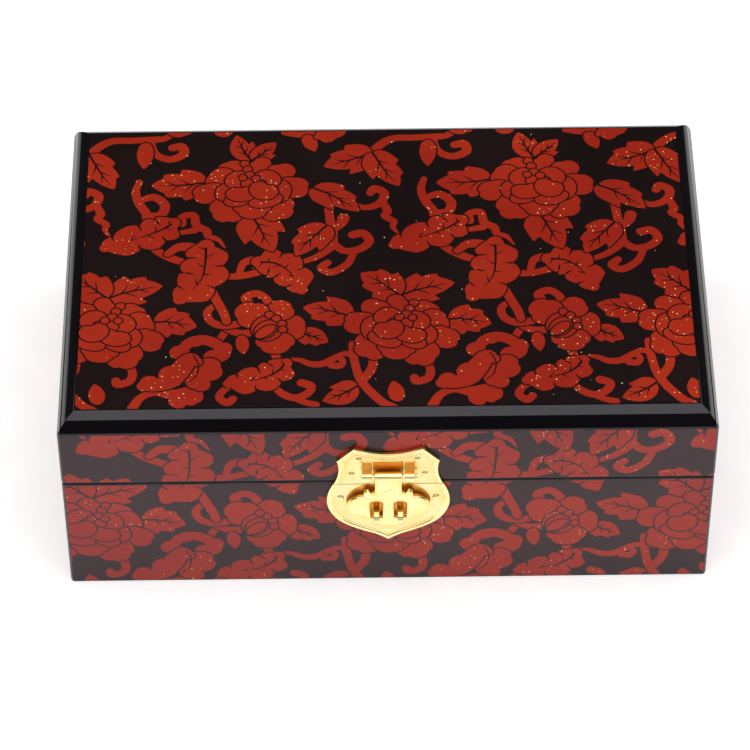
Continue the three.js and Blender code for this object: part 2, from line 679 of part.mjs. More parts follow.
const trayHalfWidth = baseInnerWidth / 2 - FIT_GAP - LINING - TRAY_CLEARANCE;
const trayHalfDepth = baseInnerDepth / 2 - FIT_GAP - LINING - TRAY_CLEARANCE;
const trayInnerX = trayHalfWidth - TRAY_WALL;
const trayInnerY = trayHalfDepth - TRAY_WALL;
const dividerBottom = TRAY_BOTTOM + TRAY_FLOOR + FIT_GAP;
const dividerTop = TRAY_TOP - DIVIDER_BELOW_TOP;

// A slot at a half-lap joint, from mid height to one edge of the divider.
function halfLap(x, y, fromTop) {
  const half = DIVIDER / 2 + FIT_GAP;
  const middle = (dividerBottom + dividerTop) / 2;
  const [z0, z1] = fromTop ? [middle, TRAY_TOP] : [TRAY_BOTTOM, middle + FIT_GAP];
  return block(x - half, x + half, y - half, y + half, z0, z1);
}

function tray() {
  const group = new THREE.Group();
  const shell = cut(
    block(-trayHalfWidth, trayHalfWidth, -trayHalfDepth, trayHalfDepth, TRAY_BOTTOM, TRAY_TOP),
    block(-trayInnerX, trayInnerX, -trayInnerY, trayInnerY, TRAY_BOTTOM + TRAY_FLOOR, TRAY_TOP + 1),
  );
  group.add(part("tray_shell", shell, velvet));

  const endX = trayInnerX - FIT_GAP;
  const endY = trayInnerY - FIT_GAP;
  const half = DIVIDER / 2;
  const long = block(-endX, endX, LONG_DIVIDER_Y - half, LONG_DIVIDER_Y + half, dividerBottom, dividerTop);
  const cross = block(CROSS_DIVIDER_X - half, CROSS_DIVIDER_X + half, -endY, endY, dividerBottom, dividerTop);
  const short = block(
    -CROSS_DIVIDER_X - half, -CROSS_DIVIDER_X + half,
    LONG_DIVIDER_Y + half + FIT_GAP, endY,
    dividerBottom, dividerTop,
  );
  group.add(part("tray_long_divider", cut(long, halfLap(CROSS_DIVIDER_X, LONG_DIVIDER_Y, true)), velvet));
  group.add(part("tray_right_divider", cut(cross, halfLap(CROSS_DIVIDER_X, LONG_DIVIDER_Y, false)), velvet));
  group.add(part("tray_left_divider", short, velvet));
  group.add(ringRolls(endX, endY));
  return group;
}

// Velvet rolls side by side, with rings held in the grooves between them.
function ringRolls(endX, endY) {
  const group = new THREE.Group();
  const back = LONG_DIVIDER_Y - DIVIDER / 2 - FIT_GAP;
  const pitch = (back + endY) / RING_ROLLS;
  const half = pitch / 2 - FIT_GAP / 2;
  const [x0, x1] = [-endX, CROSS_DIVIDER_X - DIVIDER / 2 - FIT_GAP];
  const section = new THREE.Shape();
  section.moveTo(half, 0);
  section.absarc(0, ROLL_HEIGHT - half, half, 0, Math.PI, false);
  section.lineTo(-half, 0);
  for (let k = 0; k < RING_ROLLS; k++) {
    const roll = part(`ring_roll_${k + 1}`, prism(section, x1 - x0), velvet);
    roll.rotation.set(Math.PI / 2, 0, Math.PI / 2, "ZYX");
    roll.position.set(x0, -endY + (k + 0.5) * pitch, dividerBottom);
    group.add(roll);
  }
  return group;
}

const box = new THREE.Group();
box.add(baseBoards(), baseLinings(), hinges(IN_BASE), hingePins());
box.add(lidBoards(), lidInside(), hinges(IN_LID));
box.add(hasp());
box.add(tray());

export default box;
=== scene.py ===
"""The looks of a lacquered jewellery box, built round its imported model.

Shapes are written in millimetres in the box's own frame: x to the right, y to the back, z up, with the
origin at the middle of the underside. They go into the meshes in metres.
"""
import json
import logging
import math
from dataclasses import dataclass, field
from enum import Enum
from typing import Callable, Sequence

import bmesh
import bpy
import numpy as np
from mathutils import Matrix, Vector
from mathutils.geometry import delaunay_2d_cdt

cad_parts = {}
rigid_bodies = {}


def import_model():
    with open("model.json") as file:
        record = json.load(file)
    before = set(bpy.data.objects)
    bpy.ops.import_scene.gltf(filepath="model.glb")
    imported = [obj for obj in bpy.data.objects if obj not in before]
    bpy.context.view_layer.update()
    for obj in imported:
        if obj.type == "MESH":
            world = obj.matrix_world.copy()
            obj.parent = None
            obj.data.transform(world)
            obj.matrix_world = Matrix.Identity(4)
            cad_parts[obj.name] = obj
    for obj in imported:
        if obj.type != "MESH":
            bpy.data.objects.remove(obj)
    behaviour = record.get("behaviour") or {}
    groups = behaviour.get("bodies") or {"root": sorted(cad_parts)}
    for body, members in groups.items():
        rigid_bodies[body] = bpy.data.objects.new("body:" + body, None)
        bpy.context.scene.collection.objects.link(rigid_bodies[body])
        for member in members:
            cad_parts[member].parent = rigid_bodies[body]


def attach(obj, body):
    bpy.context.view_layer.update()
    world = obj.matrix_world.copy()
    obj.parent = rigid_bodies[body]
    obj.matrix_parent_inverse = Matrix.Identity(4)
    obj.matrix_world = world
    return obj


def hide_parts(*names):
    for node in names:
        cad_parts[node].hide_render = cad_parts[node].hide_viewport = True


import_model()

LOG = logging.getLogger("lacquer_box")
MM = 0.001
MERGE = 1e-6
SHARP_ANGLE = 35.0
SEAM = 58.9
HASP_BACK = -81.8
Points = np.ndarray
Loop = np.ndarray
Placing = Callable[[Points], Points]
Colour = tuple[float, float, float, float]
Piece = bpy.types.Object
Material = bpy.types.Material
Node = bpy.types.Node
Socket = bpy.types.NodeSocket
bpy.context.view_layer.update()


class Body(str, Enum):
    """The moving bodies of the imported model."""

    CASE = "case"
    LID = "lid"
    FLAP = "flap"
    TRAY = "tray"


class Slot(str, Enum):
    """The finishes that the record lets a scene repaint."""

    LACQUER = "black_lacquer"
    GILT = "gilt_metal"
    VELVET = "velvet"
    MIRROR = "mirror_glass"


# ---- Meshes ----


def build_mesh(name: str, points: Points, faces: Sequence[Sequence[int]], weld: bool = True) -> Piece:
    """Makes an object at the origin from points in millimetres.

    Args:
        name: The piece's name.
        points: One row for each point.
        faces: Corner numbers of each face.
        weld: Whether points in the same place become one.

    Returns:
        The new object, linked to the scene.
    """
    mesh = bpy.data.meshes.new(name)
    corners = faces.tolist() if isinstance(faces, np.ndarray) else [list(map(int, face)) for face in faces]
    mesh.from_pydata((np.asarray(points, float) * MM).tolist(), [], corners)
    piece = bpy.data.objects.new(name, mesh)
    bpy.context.scene.collection.objects.link(piece)
    if weld:
        edit_mesh(piece, lambda work: bmesh.ops.remove_doubles(work, verts=work.verts, dist=MERGE))
    return piece


def edit_mesh(piece: Piece, change: Callable[[bmesh.types.BMesh], object]) -> None:
    """Runs one change on a piece's mesh.

    Args:
        piece: The piece.
        change: What is done to its mesh.
    """
    work = bmesh.new()
    work.from_mesh(piece.data)
    change(work)
    work.to_mesh(piece.data)
    work.free()
    piece.data.update()


def face_outwards(piece: Piece) -> None:
    """Turns the faces of a closed mesh outwards."""
    edit_mesh(piece, lambda work: bmesh.ops.recalc_face_normals(work, faces=work.faces))


def apply_modifiers(piece: Piece) -> None:
    """Replaces a piece's mesh by the result of its modifiers.

    Args:
        piece: The piece.
    """
    bpy.context.view_layer.update()
    graph = bpy.context.evaluated_depsgraph_get()
    made = bpy.data.meshes.new_from_object(
        piece.evaluated_get(graph), preserve_all_data_layers=True, depsgraph=graph
    )
    old = piece.data
    piece.modifiers.clear()
    piece.data = made
    made.name = piece.name
    bpy.data.meshes.remove(old)


def carve(piece: Piece, cutters: Sequence[Piece]) -> None:
    """Cuts closed meshes out of a piece and deletes them.

    Args:
        piece: The piece.
        cutters: The meshes to cut out.
    """
    for cutter in cutters:
        step = piece.modifiers.new("carve", "BOOLEAN")
        step.operation = "DIFFERENCE"
        step.solver = "EXACT"
        step.object = cutter
    apply_modifiers(piece)
    for cutter in cutters:
        bpy.data.objects.remove(cutter)


def soften(piece: Piece, width: float, segments: int = 2) -> None:
    """Rounds a piece's sharp edges by a width in millimetres.

    Args:
        piece: The piece.
        width: Width in millimetres.
        segments: Faces across each edge.
    """
    step = piece.modifiers.new("edges", "BEVEL")
    step.width = width * MM
    step.segments = segments
    step.limit_method = "ANGLE"
    step.angle_limit = math.radians(SHARP_ANGLE)
    step.use_clamp_overlap = True
    apply_modifiers(piece)


def shade(piece: Piece, angle: float = SHARP_ANGLE) -> None:
    """Shades a piece smooth up to an angle, with flat faces kept flat.

    Args:
        piece: The piece.
        angle: The angle in degrees.
    """
    piece.data.shade_smooth()
    piece.data.set_sharp_from_angle(angle=math.radians(angle))
    step = piece.modifiers.new("flats", "WEIGHTED_NORMAL")
    step.keep_sharp = True
    step.weight = 80


def grid_faces(rows: int, columns: int, wrap_rows: bool = False, wrap_columns: bool = True) -> np.ndarray:
    """Corner numbers of the quads of a grid of points, row by row.

    Args:
        rows: Rows of points.
        columns: Points in a row.
        wrap_rows: Whether the last row joins the first.
        wrap_columns: Whether a row's end joins its start.

    Returns:
        One row of four corners for each quad.
    """
    i, j = np.meshgrid(
        np.arange(rows if wrap_rows else rows - 1),
        np.arange(columns if wrap_columns else columns - 1),
        indexing="ij",
    )
    below, beside = (i + 1) % rows, (j + 1) % columns
    quads = [i * columns + j, i * columns + beside, below * columns + beside, below * columns + j]
    return np.stack(quads, -1).reshape(-1, 4)


def ring_points(half_x: float, half_y: float, corner: float, profile: Points, steps: int = 6) -> Points:
    """Carries a profile round a rectangle with rounded corners.

    A profile point is (inset, height). At inset d the path is the rectangle shrunk by d, with its corner
    radius shrunk by d too, down to a sharp mitre: x = sx (half_x - d - r) + r cos t, and y alike.

    Args:
        half_x: Half the length.
        half_y: Half the depth.
        corner: Corner radius.
        profile: The profile's points.
        steps: Steps of each corner.

    Returns:
        An array of profile rows by path columns by 3.
    """
    inset, height = profile[:, :1], profile[:, 1:2]
    quarter = np.repeat(np.arange(4), steps + 1)
    angle = (quarter + np.tile(np.linspace(0, 1, steps + 1), 4)) * np.pi / 2
    side_x, side_y = np.array([1, -1, -1, 1])[quarter], np.array([1, 1, -1, -1])[quarter]
    radius = np.maximum(corner - inset, 0)
    x = side_x * (half_x - inset - radius) + radius * np.cos(angle)
    y = side_y * (half_y - inset - radius) + radius * np.sin(angle)
    return np.stack([x, y, np.broadcast_to(height, x.shape)], -1)


def ring_solid(
    name: str, half_x: float, half_y: float, corner: float, profile: Points, closed: bool = False
) -> Piece:
    """A solid swept round a rounded rectangle, as a vessel with two flat caps or as a closed frame.

    Args:
        name: The piece's name.
        half_x: Half the length.
        half_y: Half the depth.
        corner: Corner radius.
        profile: Points (inset, height).
        closed: Whether the profile is a loop.

    Returns:
        The new object.
    """
    points = ring_points(half_x, half_y, corner, np.asarray(profile, float))
    rows, columns = points.shape[:2]
    faces = grid_faces(rows, columns, wrap_rows=closed).tolist()
    if not closed:
        faces.append(list(range(columns))[::-1])
        faces.append(list(range((rows - 1) * columns, rows * columns)))
    piece = build_mesh(name, points.reshape(-1, 3), faces)
    face_outwards(piece)
    return piece


def prism(name: str, section: Loop, low: float, high: float, place: Placing | None = None) -> Piece:
    """A flat outline made a solid between two heights, then placed by a function of its points.

    Args:
        name: The piece's name.
        section: The outline.
        low: Lower height.
        high: Upper height.
        place: Puts its points in the box.

    Returns:
        The new object.
    """
    count = len(section)
    levels = [np.column_stack([section, np.full(count, height)]) for height in (low, high)]
    faces = grid_faces(2, count).tolist() + [list(range(count))[::-1], list(range(count, 2 * count))]
    points = np.vstack(levels)
    piece = build_mesh(name, place(points) if place else points, faces)
    face_outwards(piece)
    return piece


def turned(name: str, profile: Points, place: Placing, steps: int = 32) -> Piece:
    """A solid of revolution: each (radius, height) pair goes round the axis, which both ends touch.

    Args:
        name: The piece's name.
        profile: The pairs, from end to end.
        place: Puts its points in the box.
        steps: Points in a ring.

    Returns:
        The new object.
    """
    angle = np.linspace(0, 2 * np.pi, steps, endpoint=False)
    radius, height = np.asarray(profile, float).T
    points = np.stack(
        [radius[:, None] * np.cos(angle), radius[:, None] * np.sin(angle), np.repeat(height[:, None], steps, 1)], -1
    )
    piece = build_mesh(name, place(points.reshape(-1, 3)), grid_faces(len(radius), steps))
    edit_mesh(piece, lambda work: bmesh.ops.dissolve_degenerate(work, edges=work.edges, dist=MERGE))
    face_outwards(piece)
    return piece


def padded_block(
    name: str, low: Sequence[float], high: Sequence[float], radius: float, crown: float = 0.0,
    axis: int = 2, sign: int = 1, counts: Sequence[int] = (24, 24, 6),
) -> Piece:
    """A block with rounded edges and a crowned face, as card or foam under cloth.

    Each point q on a grid over the block goes to c + r (q - c) / |q - c|, where c is q held inside the
    block shrunk by r. The crown lifts the far face by crown (1 - u^4)(1 - v^4), u and v from -1 to 1.

    Args:
        name: The piece's name.
        low: Lowest corner.
        high: Highest corner, crown included.
        radius: Radius of the edges.
        crown: Height of the crown.
        axis: Axis along which the face is crowned.
        sign: Side of the crowned face, 1 or -1.
        counts: Grid steps along each axis.

    Returns:
        The new object.
    """
    low, high = np.array(low, float), np.array(high, float)
    body_low, body_high = low.copy(), high.copy()
    if sign > 0:
        body_high[axis] -= crown
    else:
        body_low[axis] += crown
    points, faces, start = [], [], 0
    for across in range(3):
        first, second = [k for k in range(3) if k != across]
        span = []
        for k in (first, second):
            inner = np.linspace(body_low[k] + radius, body_high[k] - radius, counts[k] + 1)
            edge = radius * (1 - np.cos(np.linspace(0, np.pi / 2, 4)))[:-1]
            span.append(np.concatenate([body_low[k] + edge, inner, (body_high[k] - edge)[::-1]]))
        u, v = np.meshgrid(*span, indexing="ij")
        for end in (body_low[across], body_high[across]):
            grid = np.zeros((*u.shape, 3))
            grid[..., first], grid[..., second], grid[..., across] = u, v, end
            points.append(grid.reshape(-1, 3))
            faces.append(grid_faces(*u.shape, wrap_columns=False) + start)
            start += u.size
    flat = np.vstack(points)
    centre = np.clip(flat, body_low + radius, body_high - radius)
    away = flat - centre
    flat = centre + radius * away / np.maximum(np.linalg.norm(away, axis=1, keepdims=True), 1e-9)
    middle, half = (body_low + body_high) / 2, (body_high - body_low) / 2
    share = np.clip(np.abs((flat - middle) / half), 0, 1)
    others = [k for k in range(3) if k != axis]
    lift = crown * np.prod(1 - share[:, others] ** 4, axis=1)
    height = np.clip(sign * (flat[:, axis] - middle[axis]) / half[axis], 0, 1)
    flat[:, axis] += sign * lift * height
    piece = build_mesh(name, flat, np.vstack(faces))
    face_outwards(piece)
    shade(piece, 60)
    return piece


# ---- Outlines ----


def spline(points: Points, step: float = 0.8) -> Points:
    """A smooth curve through points, by the cubic blend of each four that follow one another.

    Args:
        points: The points.
        step: Rough distance between the curve's points.

    Returns:
        The curve's points.
    """
    knots = np.asarray(points, float)
    ends = np.vstack([2 * knots[0] - knots[1], knots, 2 * knots[-1] - knots[-2]])
    length = np.linalg.norm(np.diff(knots, axis=0), axis=1).sum()
    count = max(4, math.ceil(length / step))
    place = np.linspace(0, len(knots) - 1 - 1e-9, count + 1)
    k = place.astype(int)
    t = (place - k)[:, None]
    a, b, c, d = ends[k], ends[k + 1], ends[k + 2], ends[k + 3]
    return 0.5 * (2 * b + (c - a) * t + (2 * a - 5 * b + 4 * c - d) * t**2 + (3 * b - a - 3 * c + d) * t**3)


def bezier(corners: Sequence[Sequence[float]], steps: int = 8) -> Points:
    """A Bezier arc: its control points blended in pairs until one is left, without the arc's last point.

    Args:
        corners: The control points.
        steps: Points on the arc.

    Returns:
        The arc's points.
    """
    t = np.linspace(0, 1, steps, endpoint=False)[:, None]
    level = [np.asarray(corner, float) for corner in corners]
    while len(level) > 1:
        level = [(1 - t) * a + t * b for a, b in zip(level, level[1:])]
    return level[0] + 0 * t


def path_normals(path: Points) -> Points:
    """Left-hand unit normals of an open path.

    Args:
        path: The path's points.

    Returns:
        A normal for each.
    """
    along = np.gradient(path, axis=0)
    along /= np.maximum(np.linalg.norm(along, axis=1, keepdims=True), 1e-9)
    return np.stack([-along[:, 1], along[:, 0]], 1)


def signed_area(loop: Loop) -> float:
    """Area inside a loop, positive where it runs anticlockwise."""
    x, y = loop.T
    return 0.5 * float(np.sum(x * np.roll(y, -1) - np.roll(x, -1) * y))


def ribbon_outline(path: Points, left: Points, right: Points, bulge: float = 1.0) -> Loop:
    """The outline of a shape with half-widths left and right of a path, closed by rounded ends.

    Args:
        path: The path.
        left: Half-widths to its left.
        right: Half-widths to its right.
        bulge: How far the ends stand out, 1 for half a circle.

    Returns:
        The outline.
    """
    normal = path_normals(path)
    turn = np.linspace(0, np.pi, 8)[1:-1, None]
    forward = np.stack([normal[:, 1], -normal[:, 0]], 1)
    end_width, start_width = min(left[-1], right[-1]), min(left[0], right[0])
    end = path[-1] + end_width * (np.cos(turn) * normal[-1] + bulge * np.sin(turn) * forward[-1])
    start = path[0] - start_width * (np.cos(turn) * normal[0] + bulge * np.sin(turn) * forward[0])
    return np.vstack([path + normal * left[:, None], end, (path - normal * right[:, None])[::-1], start])


def stroke(points: Sequence[Sequence[float]], widths: Sequence[float], step: float = 0.8) -> Loop:
    """The outline of a brush stroke along a smooth curve, with its width blended along it.

    Args:
        points: Points of the curve.
        widths: Widths at even shares of it.
        step: Rough distance between points.

    Returns:
        The outline.
    """
    path = spline(np.asarray(points, float), step)
    half = np.interp(np.linspace(0, 1, len(path)), np.linspace(0, 1, len(widths)), widths) / 2
    return ribbon_outline(path, half, half)


def oval(
    x: float, y: float, a: float, b: float, turn: float = 0.0, lobes: int = 0, notch: float = 0.0, depth: float = 0.17
) -> Loop:
    """A petal: an oval x = a r cos t, y = b r sin t, turned by an angle in degrees.

    With lobes, r dips by depth in sharp clefts between them on the petal's outer end. With a notch,
    r dips once, smoothly, on its upper side.

    Args:
        x: Middle.
        y: Middle.
        a: Half the length.
        b: Half the width.
        turn: The angle.
        lobes: Number of lobes.
        notch: Depth of the notch.
        depth: Depth of the clefts.

    Returns:
        The outline.
    """
    t = np.linspace(0, 2 * np.pi, 48, endpoint=False)
    r = np.ones_like(t)
    if lobes:
        outer = np.clip(np.cos(t) * 1.6 + 0.5, 0, 1)
        wave = np.abs(np.sin(lobes * t / 2 + (lobes % 2) * np.pi / 2))
        r -= depth * outer * (1 - wave) ** 1.5
    r -= notch * np.exp(-(((t - np.pi / 2) / 0.55) ** 2))
    c, s = math.cos(math.radians(turn)), math.sin(math.radians(turn))
    px, py = a * r * np.cos(t), b * r * np.sin(t)
    return np.stack([x + c * px - s * py, y + s * px + c * py], 1)


def grown(loop: Loop, by: float) -> Loop:
    """A loop moved outwards by a distance along its normals.

    Args:
        loop: The loop.
        by: The distance.

    Returns:
        The moved loop.
    """
    along = np.roll(loop, -1, 0) - np.roll(loop, 1, 0)
    along /= np.maximum(np.linalg.norm(along, axis=1, keepdims=True), 1e-9)
    outward = np.stack([along[:, 1], -along[:, 0]], 1)
    return loop + outward * math.copysign(by, signed_area(loop))


def mitred_inset(loop: Loop, by: float) -> Loop:
    """A loop moved inwards by a distance with mitred corners, without the points that fold over.

    Args:
        loop: The loop.
        by: The distance, less than 0 for outwards.

    Returns:
        The moved loop.
    """
    if by == 0:
        return loop
    edges = np.roll(loop, -1, 0) - loop
    length = np.linalg.norm(edges, axis=1, keepdims=True)
    inward = np.stack([-edges[:, 1], edges[:, 0]], 1) / length * math.copysign(1, signed_area(loop))
    mitre = inward + np.roll(inward, 1, 0)
    mitre /= np.linalg.norm(mitre, axis=1, keepdims=True)
    moved = loop + mitre * by / np.sum(mitre * inward, axis=1, keepdims=True)
    gap = distance_to_loop(moved, loop)
    return moved[gap > 0.985 * abs(by)]


def distance_to_loop(points: Points, loop: Loop) -> np.ndarray:
    """Each point's distance to the nearest edge of a loop.

    Args:
        points: The points, one to a row.
        loop: The loop.

    Returns:
        The distances.
    """
    start, edge = loop[None], (np.roll(loop, -1, 0) - loop)[None]
    away = points[:, None] - start
    share = np.clip(np.sum(away * edge, -1) / np.maximum(np.sum(edge * edge, -1), 1e-12), 0, 1)
    return np.linalg.norm(away - share[..., None] * edge, axis=-1).min(1)


def inside(points: Points, loop: Loop) -> np.ndarray:
    """Which points a loop winds round, by the crossings of a ray towards +x counted with their sign.

    Args:
        points: The points, one to a row.
        loop: The loop.

    Returns:
        True for each point inside.
    """
    x, y = points[:, 0, None], points[:, 1, None]
    x0, y0 = loop[None, :, 0], loop[None, :, 1]
    x1, y1 = np.roll(loop[:, 0], -1)[None], np.roll(loop[:, 1], -1)[None]
    side = (x1 - x0) * (y - y0) - (x - x0) * (y1 - y0)
    up = (y0 <= y) & (y1 > y) & (side > 0)
    down = (y0 > y) & (y1 <= y) & (side < 0)
    return (up.sum(1) - down.sum(1)) != 0


def triangulated(loops: Sequence[Loop]) -> tuple[Points, np.ndarray, list[int]]:
    """Triangles that keep every edge of some loops.

    Args:
        loops: The loops.

    Returns:
        The points, the triangles' corner numbers, and for each point the number of a loop that it is on,
        or -1 where two loops cross.
    """
    starts = np.cumsum([0] + [len(loop) for loop in loops])
    points = np.vstack(loops)
    following = np.arange(len(points)) + 1
    following[starts[1:] - 1] = starts[:-1]
    edges = np.stack([np.arange(len(points)), following], 1).tolist()
    corners, _, faces, sources, _, _ = delaunay_2d_cdt(points.tolist(), edges, [], 0, 1e-5, True)
    owner = np.searchsorted(starts, np.arange(len(points)), side="right") - 1
    owners = [int(owner[source[0]]) if source else -1 for source in sources]
    return np.array([tuple(corner) for corner in corners]), np.array(faces), owners


def border_of(work: bmesh.types.BMesh) -> list[bmesh.types.BMEdge]:
    """The edges with a face on one side only."""
    return [edge for edge in work.edges if edge.is_boundary]


def slab(
    name: str, points: Points, triangles: np.ndarray, back: Placing,
    kinds: np.ndarray | None = None, pierced: bool = False,
) -> Piece:
    """A closed slab: a triangulated face, a wall round its border, and a flat back.

    Args:
        name: The piece's name.
        points: The face's points, placed in the box.
        triangles: Their corner numbers, anticlockwise as seen from the front.
        back: Where a border point goes on the back face, from its place on the front face.
        kinds: The material number of each triangle.
        pierced: Whether holes go through it, so that the back is filled round them.

    Returns:
        The new object.
    """
    used, corners = np.unique(triangles, return_inverse=True)
    piece = build_mesh(name, points[used], corners.reshape(-1, 3), weld=False)
    if kinds is not None:
        piece.data.polygons.foreach_set("material_index", kinds.astype(np.int32))
    edit_mesh(piece, lambda work: bmesh.ops.extrude_edge_only(work, edges=border_of(work)))
    places = np.empty(3 * len(piece.data.vertices), np.float32)
    piece.data.vertices.foreach_get("co", places)
    behind = places.reshape(-1, 3)[len(used) :]
    behind[:] = back(behind.astype(float) / MM) * MM
    piece.data.vertices.foreach_set("co", places)

    def close(work: bmesh.types.BMesh) -> None:
        """Fills the back and turns every face outwards.

        Args:
            work: The mesh.
        """
        rim = border_of(work)
        if pierced:
            bmesh.ops.triangle_fill(work, edges=rim)
        else:
            bmesh.ops.contextual_create(work, geom=rim)
        bmesh.ops.recalc_face_normals(work, faces=work.faces)

    edit_mesh(piece, close)
    return piece


# ---- The peony scroll ----

# One side of a leaf as corners and controls of arcs in turn, each (along, across)
NOTCHED = ((0, 0), (-0.04, 0.88), (0.40, 1.14), (0.44, 0.98), (0.47, 0.80), (0.60, 0.92), (0.76, 0.80), (0.75, 0.66),
           (0.78, 0.52), (0.90, 0.36), (1, 0))
PLAIN = ((0, 0), (0.05, 0.95), (0.45, 0.98), (0.75, 0.95), (1, 0))
IVY = ((0, 0), (-0.08, 0.55), (0.20, 1.0), (0.42, 1.06), (0.62, 1.0), (0.55, 0.78), (0.56, 0.62), (0.82, 0.5), (1, 0))


@dataclass
class PeonyScroll:
    """One repeat of the scroll: layers of red and black outlines from back to front."""

    repeat: float = 113.4
    outline: float = 0.62
    swell: float = 0.22
    layers: list[tuple[Loop, bool]] = field(default_factory=list)

    def motif(self, fills: Sequence[Loop], veins: Sequence[Loop] = ()) -> None:
        """Adds red shapes that run together, with one black outline round them and black veins on them.

        Args:
            fills: The red shapes.
            veins: The black ones.
        """
        self.layers += [(grown(fill, self.swell + self.outline), False) for fill in fills]
        self.layers += [(grown(fill, self.swell), True) for fill in fills]
        self.layers += [(vein, False) for vein in veins]

    def stems(self, *strokes: tuple[Sequence, Sequence]) -> None:
        """Adds stems and tendrils that run together."""
        self.motif([stroke(points, widths) for points, widths in strokes])

    def leaf(
        self, base: Sequence[float], tip: Sequence[float], width: float,
        left: Sequence = NOTCHED, right: Sequence = NOTCHED, bend: float = 0.0, veins: bool = True,
    ) -> None:
        """Adds a pointed leaf between its base and tip, bowed sideways by bend.

        Args:
            base: Where it starts.
            tip: Its point.
            width: Its width.
            left: Arcs of its left side.
            right: Arcs of its right side.
            bend: How far it bows.
            veins: Whether it has veins.
        """
        base, along = np.asarray(base, float), np.subtract(tip, base)
        length = np.linalg.norm(along)
        across = np.array([-along[1], along[0]]) / length

        def place(share: Sequence) -> Points:
            """Puts (along, across) shares of the leaf in the drawing."""
            t, s = np.asarray(share, float)[..., 0:1], np.asarray(share, float)[..., 1:2]
            return base + along * t + across * (s * width / 2 + bend * 4 * t * (1 - t))

        sides = [
            np.vstack([bezier(shape[k : k + 3]) for k in range(0, len(shape) - 2, 2)]) * [1, sign]
            for shape, sign in ((left, 1), (right, -1))
        ]
        lines = []
        if veins:
            lines.append(stroke(place([(0, 0), (0.3, 0.02), (0.6, -0.02), (0.86, 0)]), (1.0, 0.75, 0.25), 1.2))
            for start, side, reach in ((0.22, 1, 0.52), (0.3, -1, 0.5), (0.48, 1, 0.42), (0.56, -1, 0.36)):
                way = [(start, 0), (start + 0.12, side * reach * 0.6), (start + 0.19, side * reach)]
                lines.append(stroke(place(way), (0.72, 0.2), 1.2))
        self.motif([place(np.vstack([sides[0], [(1, 0)], sides[1][::-1][:-1]]))], lines)

    def drop(self, base: Sequence[float], tip: Sequence[float], width: float) -> None:
        """Adds a small plain leaf."""
        self.leaf(base, tip, width, PLAIN, PLAIN, veins=False)

    def curled_leaf(self, spine: Sequence, width: float, lobes: int = 3, vein: bool = True) -> None:
        """Adds a broad leaf with round lobes in two rows along its spine, and a cleft between each two.

        Args:
            spine: Points along its middle.
            width: Its width.
            lobes: Lobes in a row.
            vein: Whether it has veins.
        """
        path = spline(np.asarray(spine, float), 0.7)
        count = len(path)
        t = np.linspace(0, 1, count)
        body = np.interp(t, [0, 0.12, 0.5, 0.85, 1], [0.62, 0.98, 1.14, 0.98, 0.5]) * width / 2
        left = body * (0.62 + 0.38 * np.abs(np.sin(np.pi * lobes * t)) ** 0.6)
        right = body * (0.62 + 0.38 * np.abs(np.sin(np.pi * (lobes * t + 0.35))) ** 0.6)
        normal = path_normals(path)
        veins = []
        if vein:
            middle = path[int(0.04 * count) : int(0.86 * count) : max(1, count // 6)]
            veins.append(stroke(middle, (1.0, 0.8, 0.3), 1.0))
            clefts = [(k / lobes, left, 1) for k in range(1, lobes)]
            clefts += [((k - 0.35) / lobes, right, -1) for k in range(1, lobes + 1)]
            for share, half, side in clefts:
                k = int(count * share)
                reach = side * half[k] * normal[k]
                veins.append(stroke([path[k] + reach * part for part in (1.0, 0.75, 0.5)], (0.9, 0.6, 0.2), 1.0))
                j = max(k - count // (2 * lobes), 0)
                near, far = path[max(j - count // 24, 0)], path[max(j - count // 12, 0)]
                veins.append(stroke([path[j], near + reach * 0.25, far + reach * 0.5], (0.75, 0.5, 0.2), 1.0))
        self.motif([ribbon_outline(path, left, right, 1.2)], veins)

    def flower(self, shapes: Sequence[Loop], x: float, y: float, turn: float, flip: int, size: float) -> None:
        """Adds petals from back to front, each outlined, turned by degrees and maybe mirrored.

        Args:
            shapes: The petals.
            x: Its middle.
            y: Its middle.
            turn: The angle.
            flip: -1 if mirrored, or else 1.
            size: Its scale.
        """
        c, s = math.cos(math.radians(turn)), math.sin(math.radians(turn))
        for shape in shapes:
            px, py = (shape * [flip * size, size]).T
            self.motif([np.stack([x + c * px - s * py, y + s * px + c * py], 1)])

    def blossom(self, x: float, y: float, turn: float = 0.0, flip: int = 1, size: float = 1.0) -> None:
        """Adds a full peony: outer petals, side cups, two beans in the middle, stamens in the gap above.

        Args:
            x: Its middle.
            y: Its middle.
            turn: The angle in degrees.
            flip: -1 if mirrored, or else 1.
            size: Its scale.
        """
        petals = (
            (4.3, 13.6, 5.2, 4.6, 75, 3), (-7.6, 12.4, 4.8, 5.6, 115, 2), (12.2, 9.6, 6.2, 5.6, 40, 3),
            (-11.6, 6.8, 5.8, 6.4, 150, 2), (17, 1.6, 6.8, 6, 0, 4), (-15.8, -1.2, 7, 5.6, 190, 4),
            (10.8, -9.6, 7, 7.4, -40, 5), (-8.6, -10.4, 7, 7.2, 235, 5), (1.2, -9.4, 5.8, 7.4, -90, 3),
            (-9, -0.8, 4.4, 4.9, 180, 0), (11.6, -0.4, 4.6, 6.2, -10, 0), (-4.4, -4.6, 5.6, 3.4, 200, 0),
            (6.4, -5.4, 6.6, 3.6, 15, 0), (-4.4, 6.2, 4.6, 5.4, 110, 0), (7, 6.6, 4.6, 5.2, 60, 0),
            (1.4, 4, 4.6, 2.8, 0, 0),
        )
        shapes = [oval(*petal) for petal in petals]
        shapes += [oval(-3, -1.2, 6.2, 4.3, 7, notch=0.4), oval(5.6, 0.4, 5.6, 5, -26, notch=0.4)]
        stamens = ((-2.1, 15.4, 1.5), (-1, 12.3, 1.5), (-0.1, 9, 1.6), (2.4, 7, 1.4), (-2.8, 7.6, 1.3))
        shapes += [oval(px, py, r, r) for px, py, r in stamens]
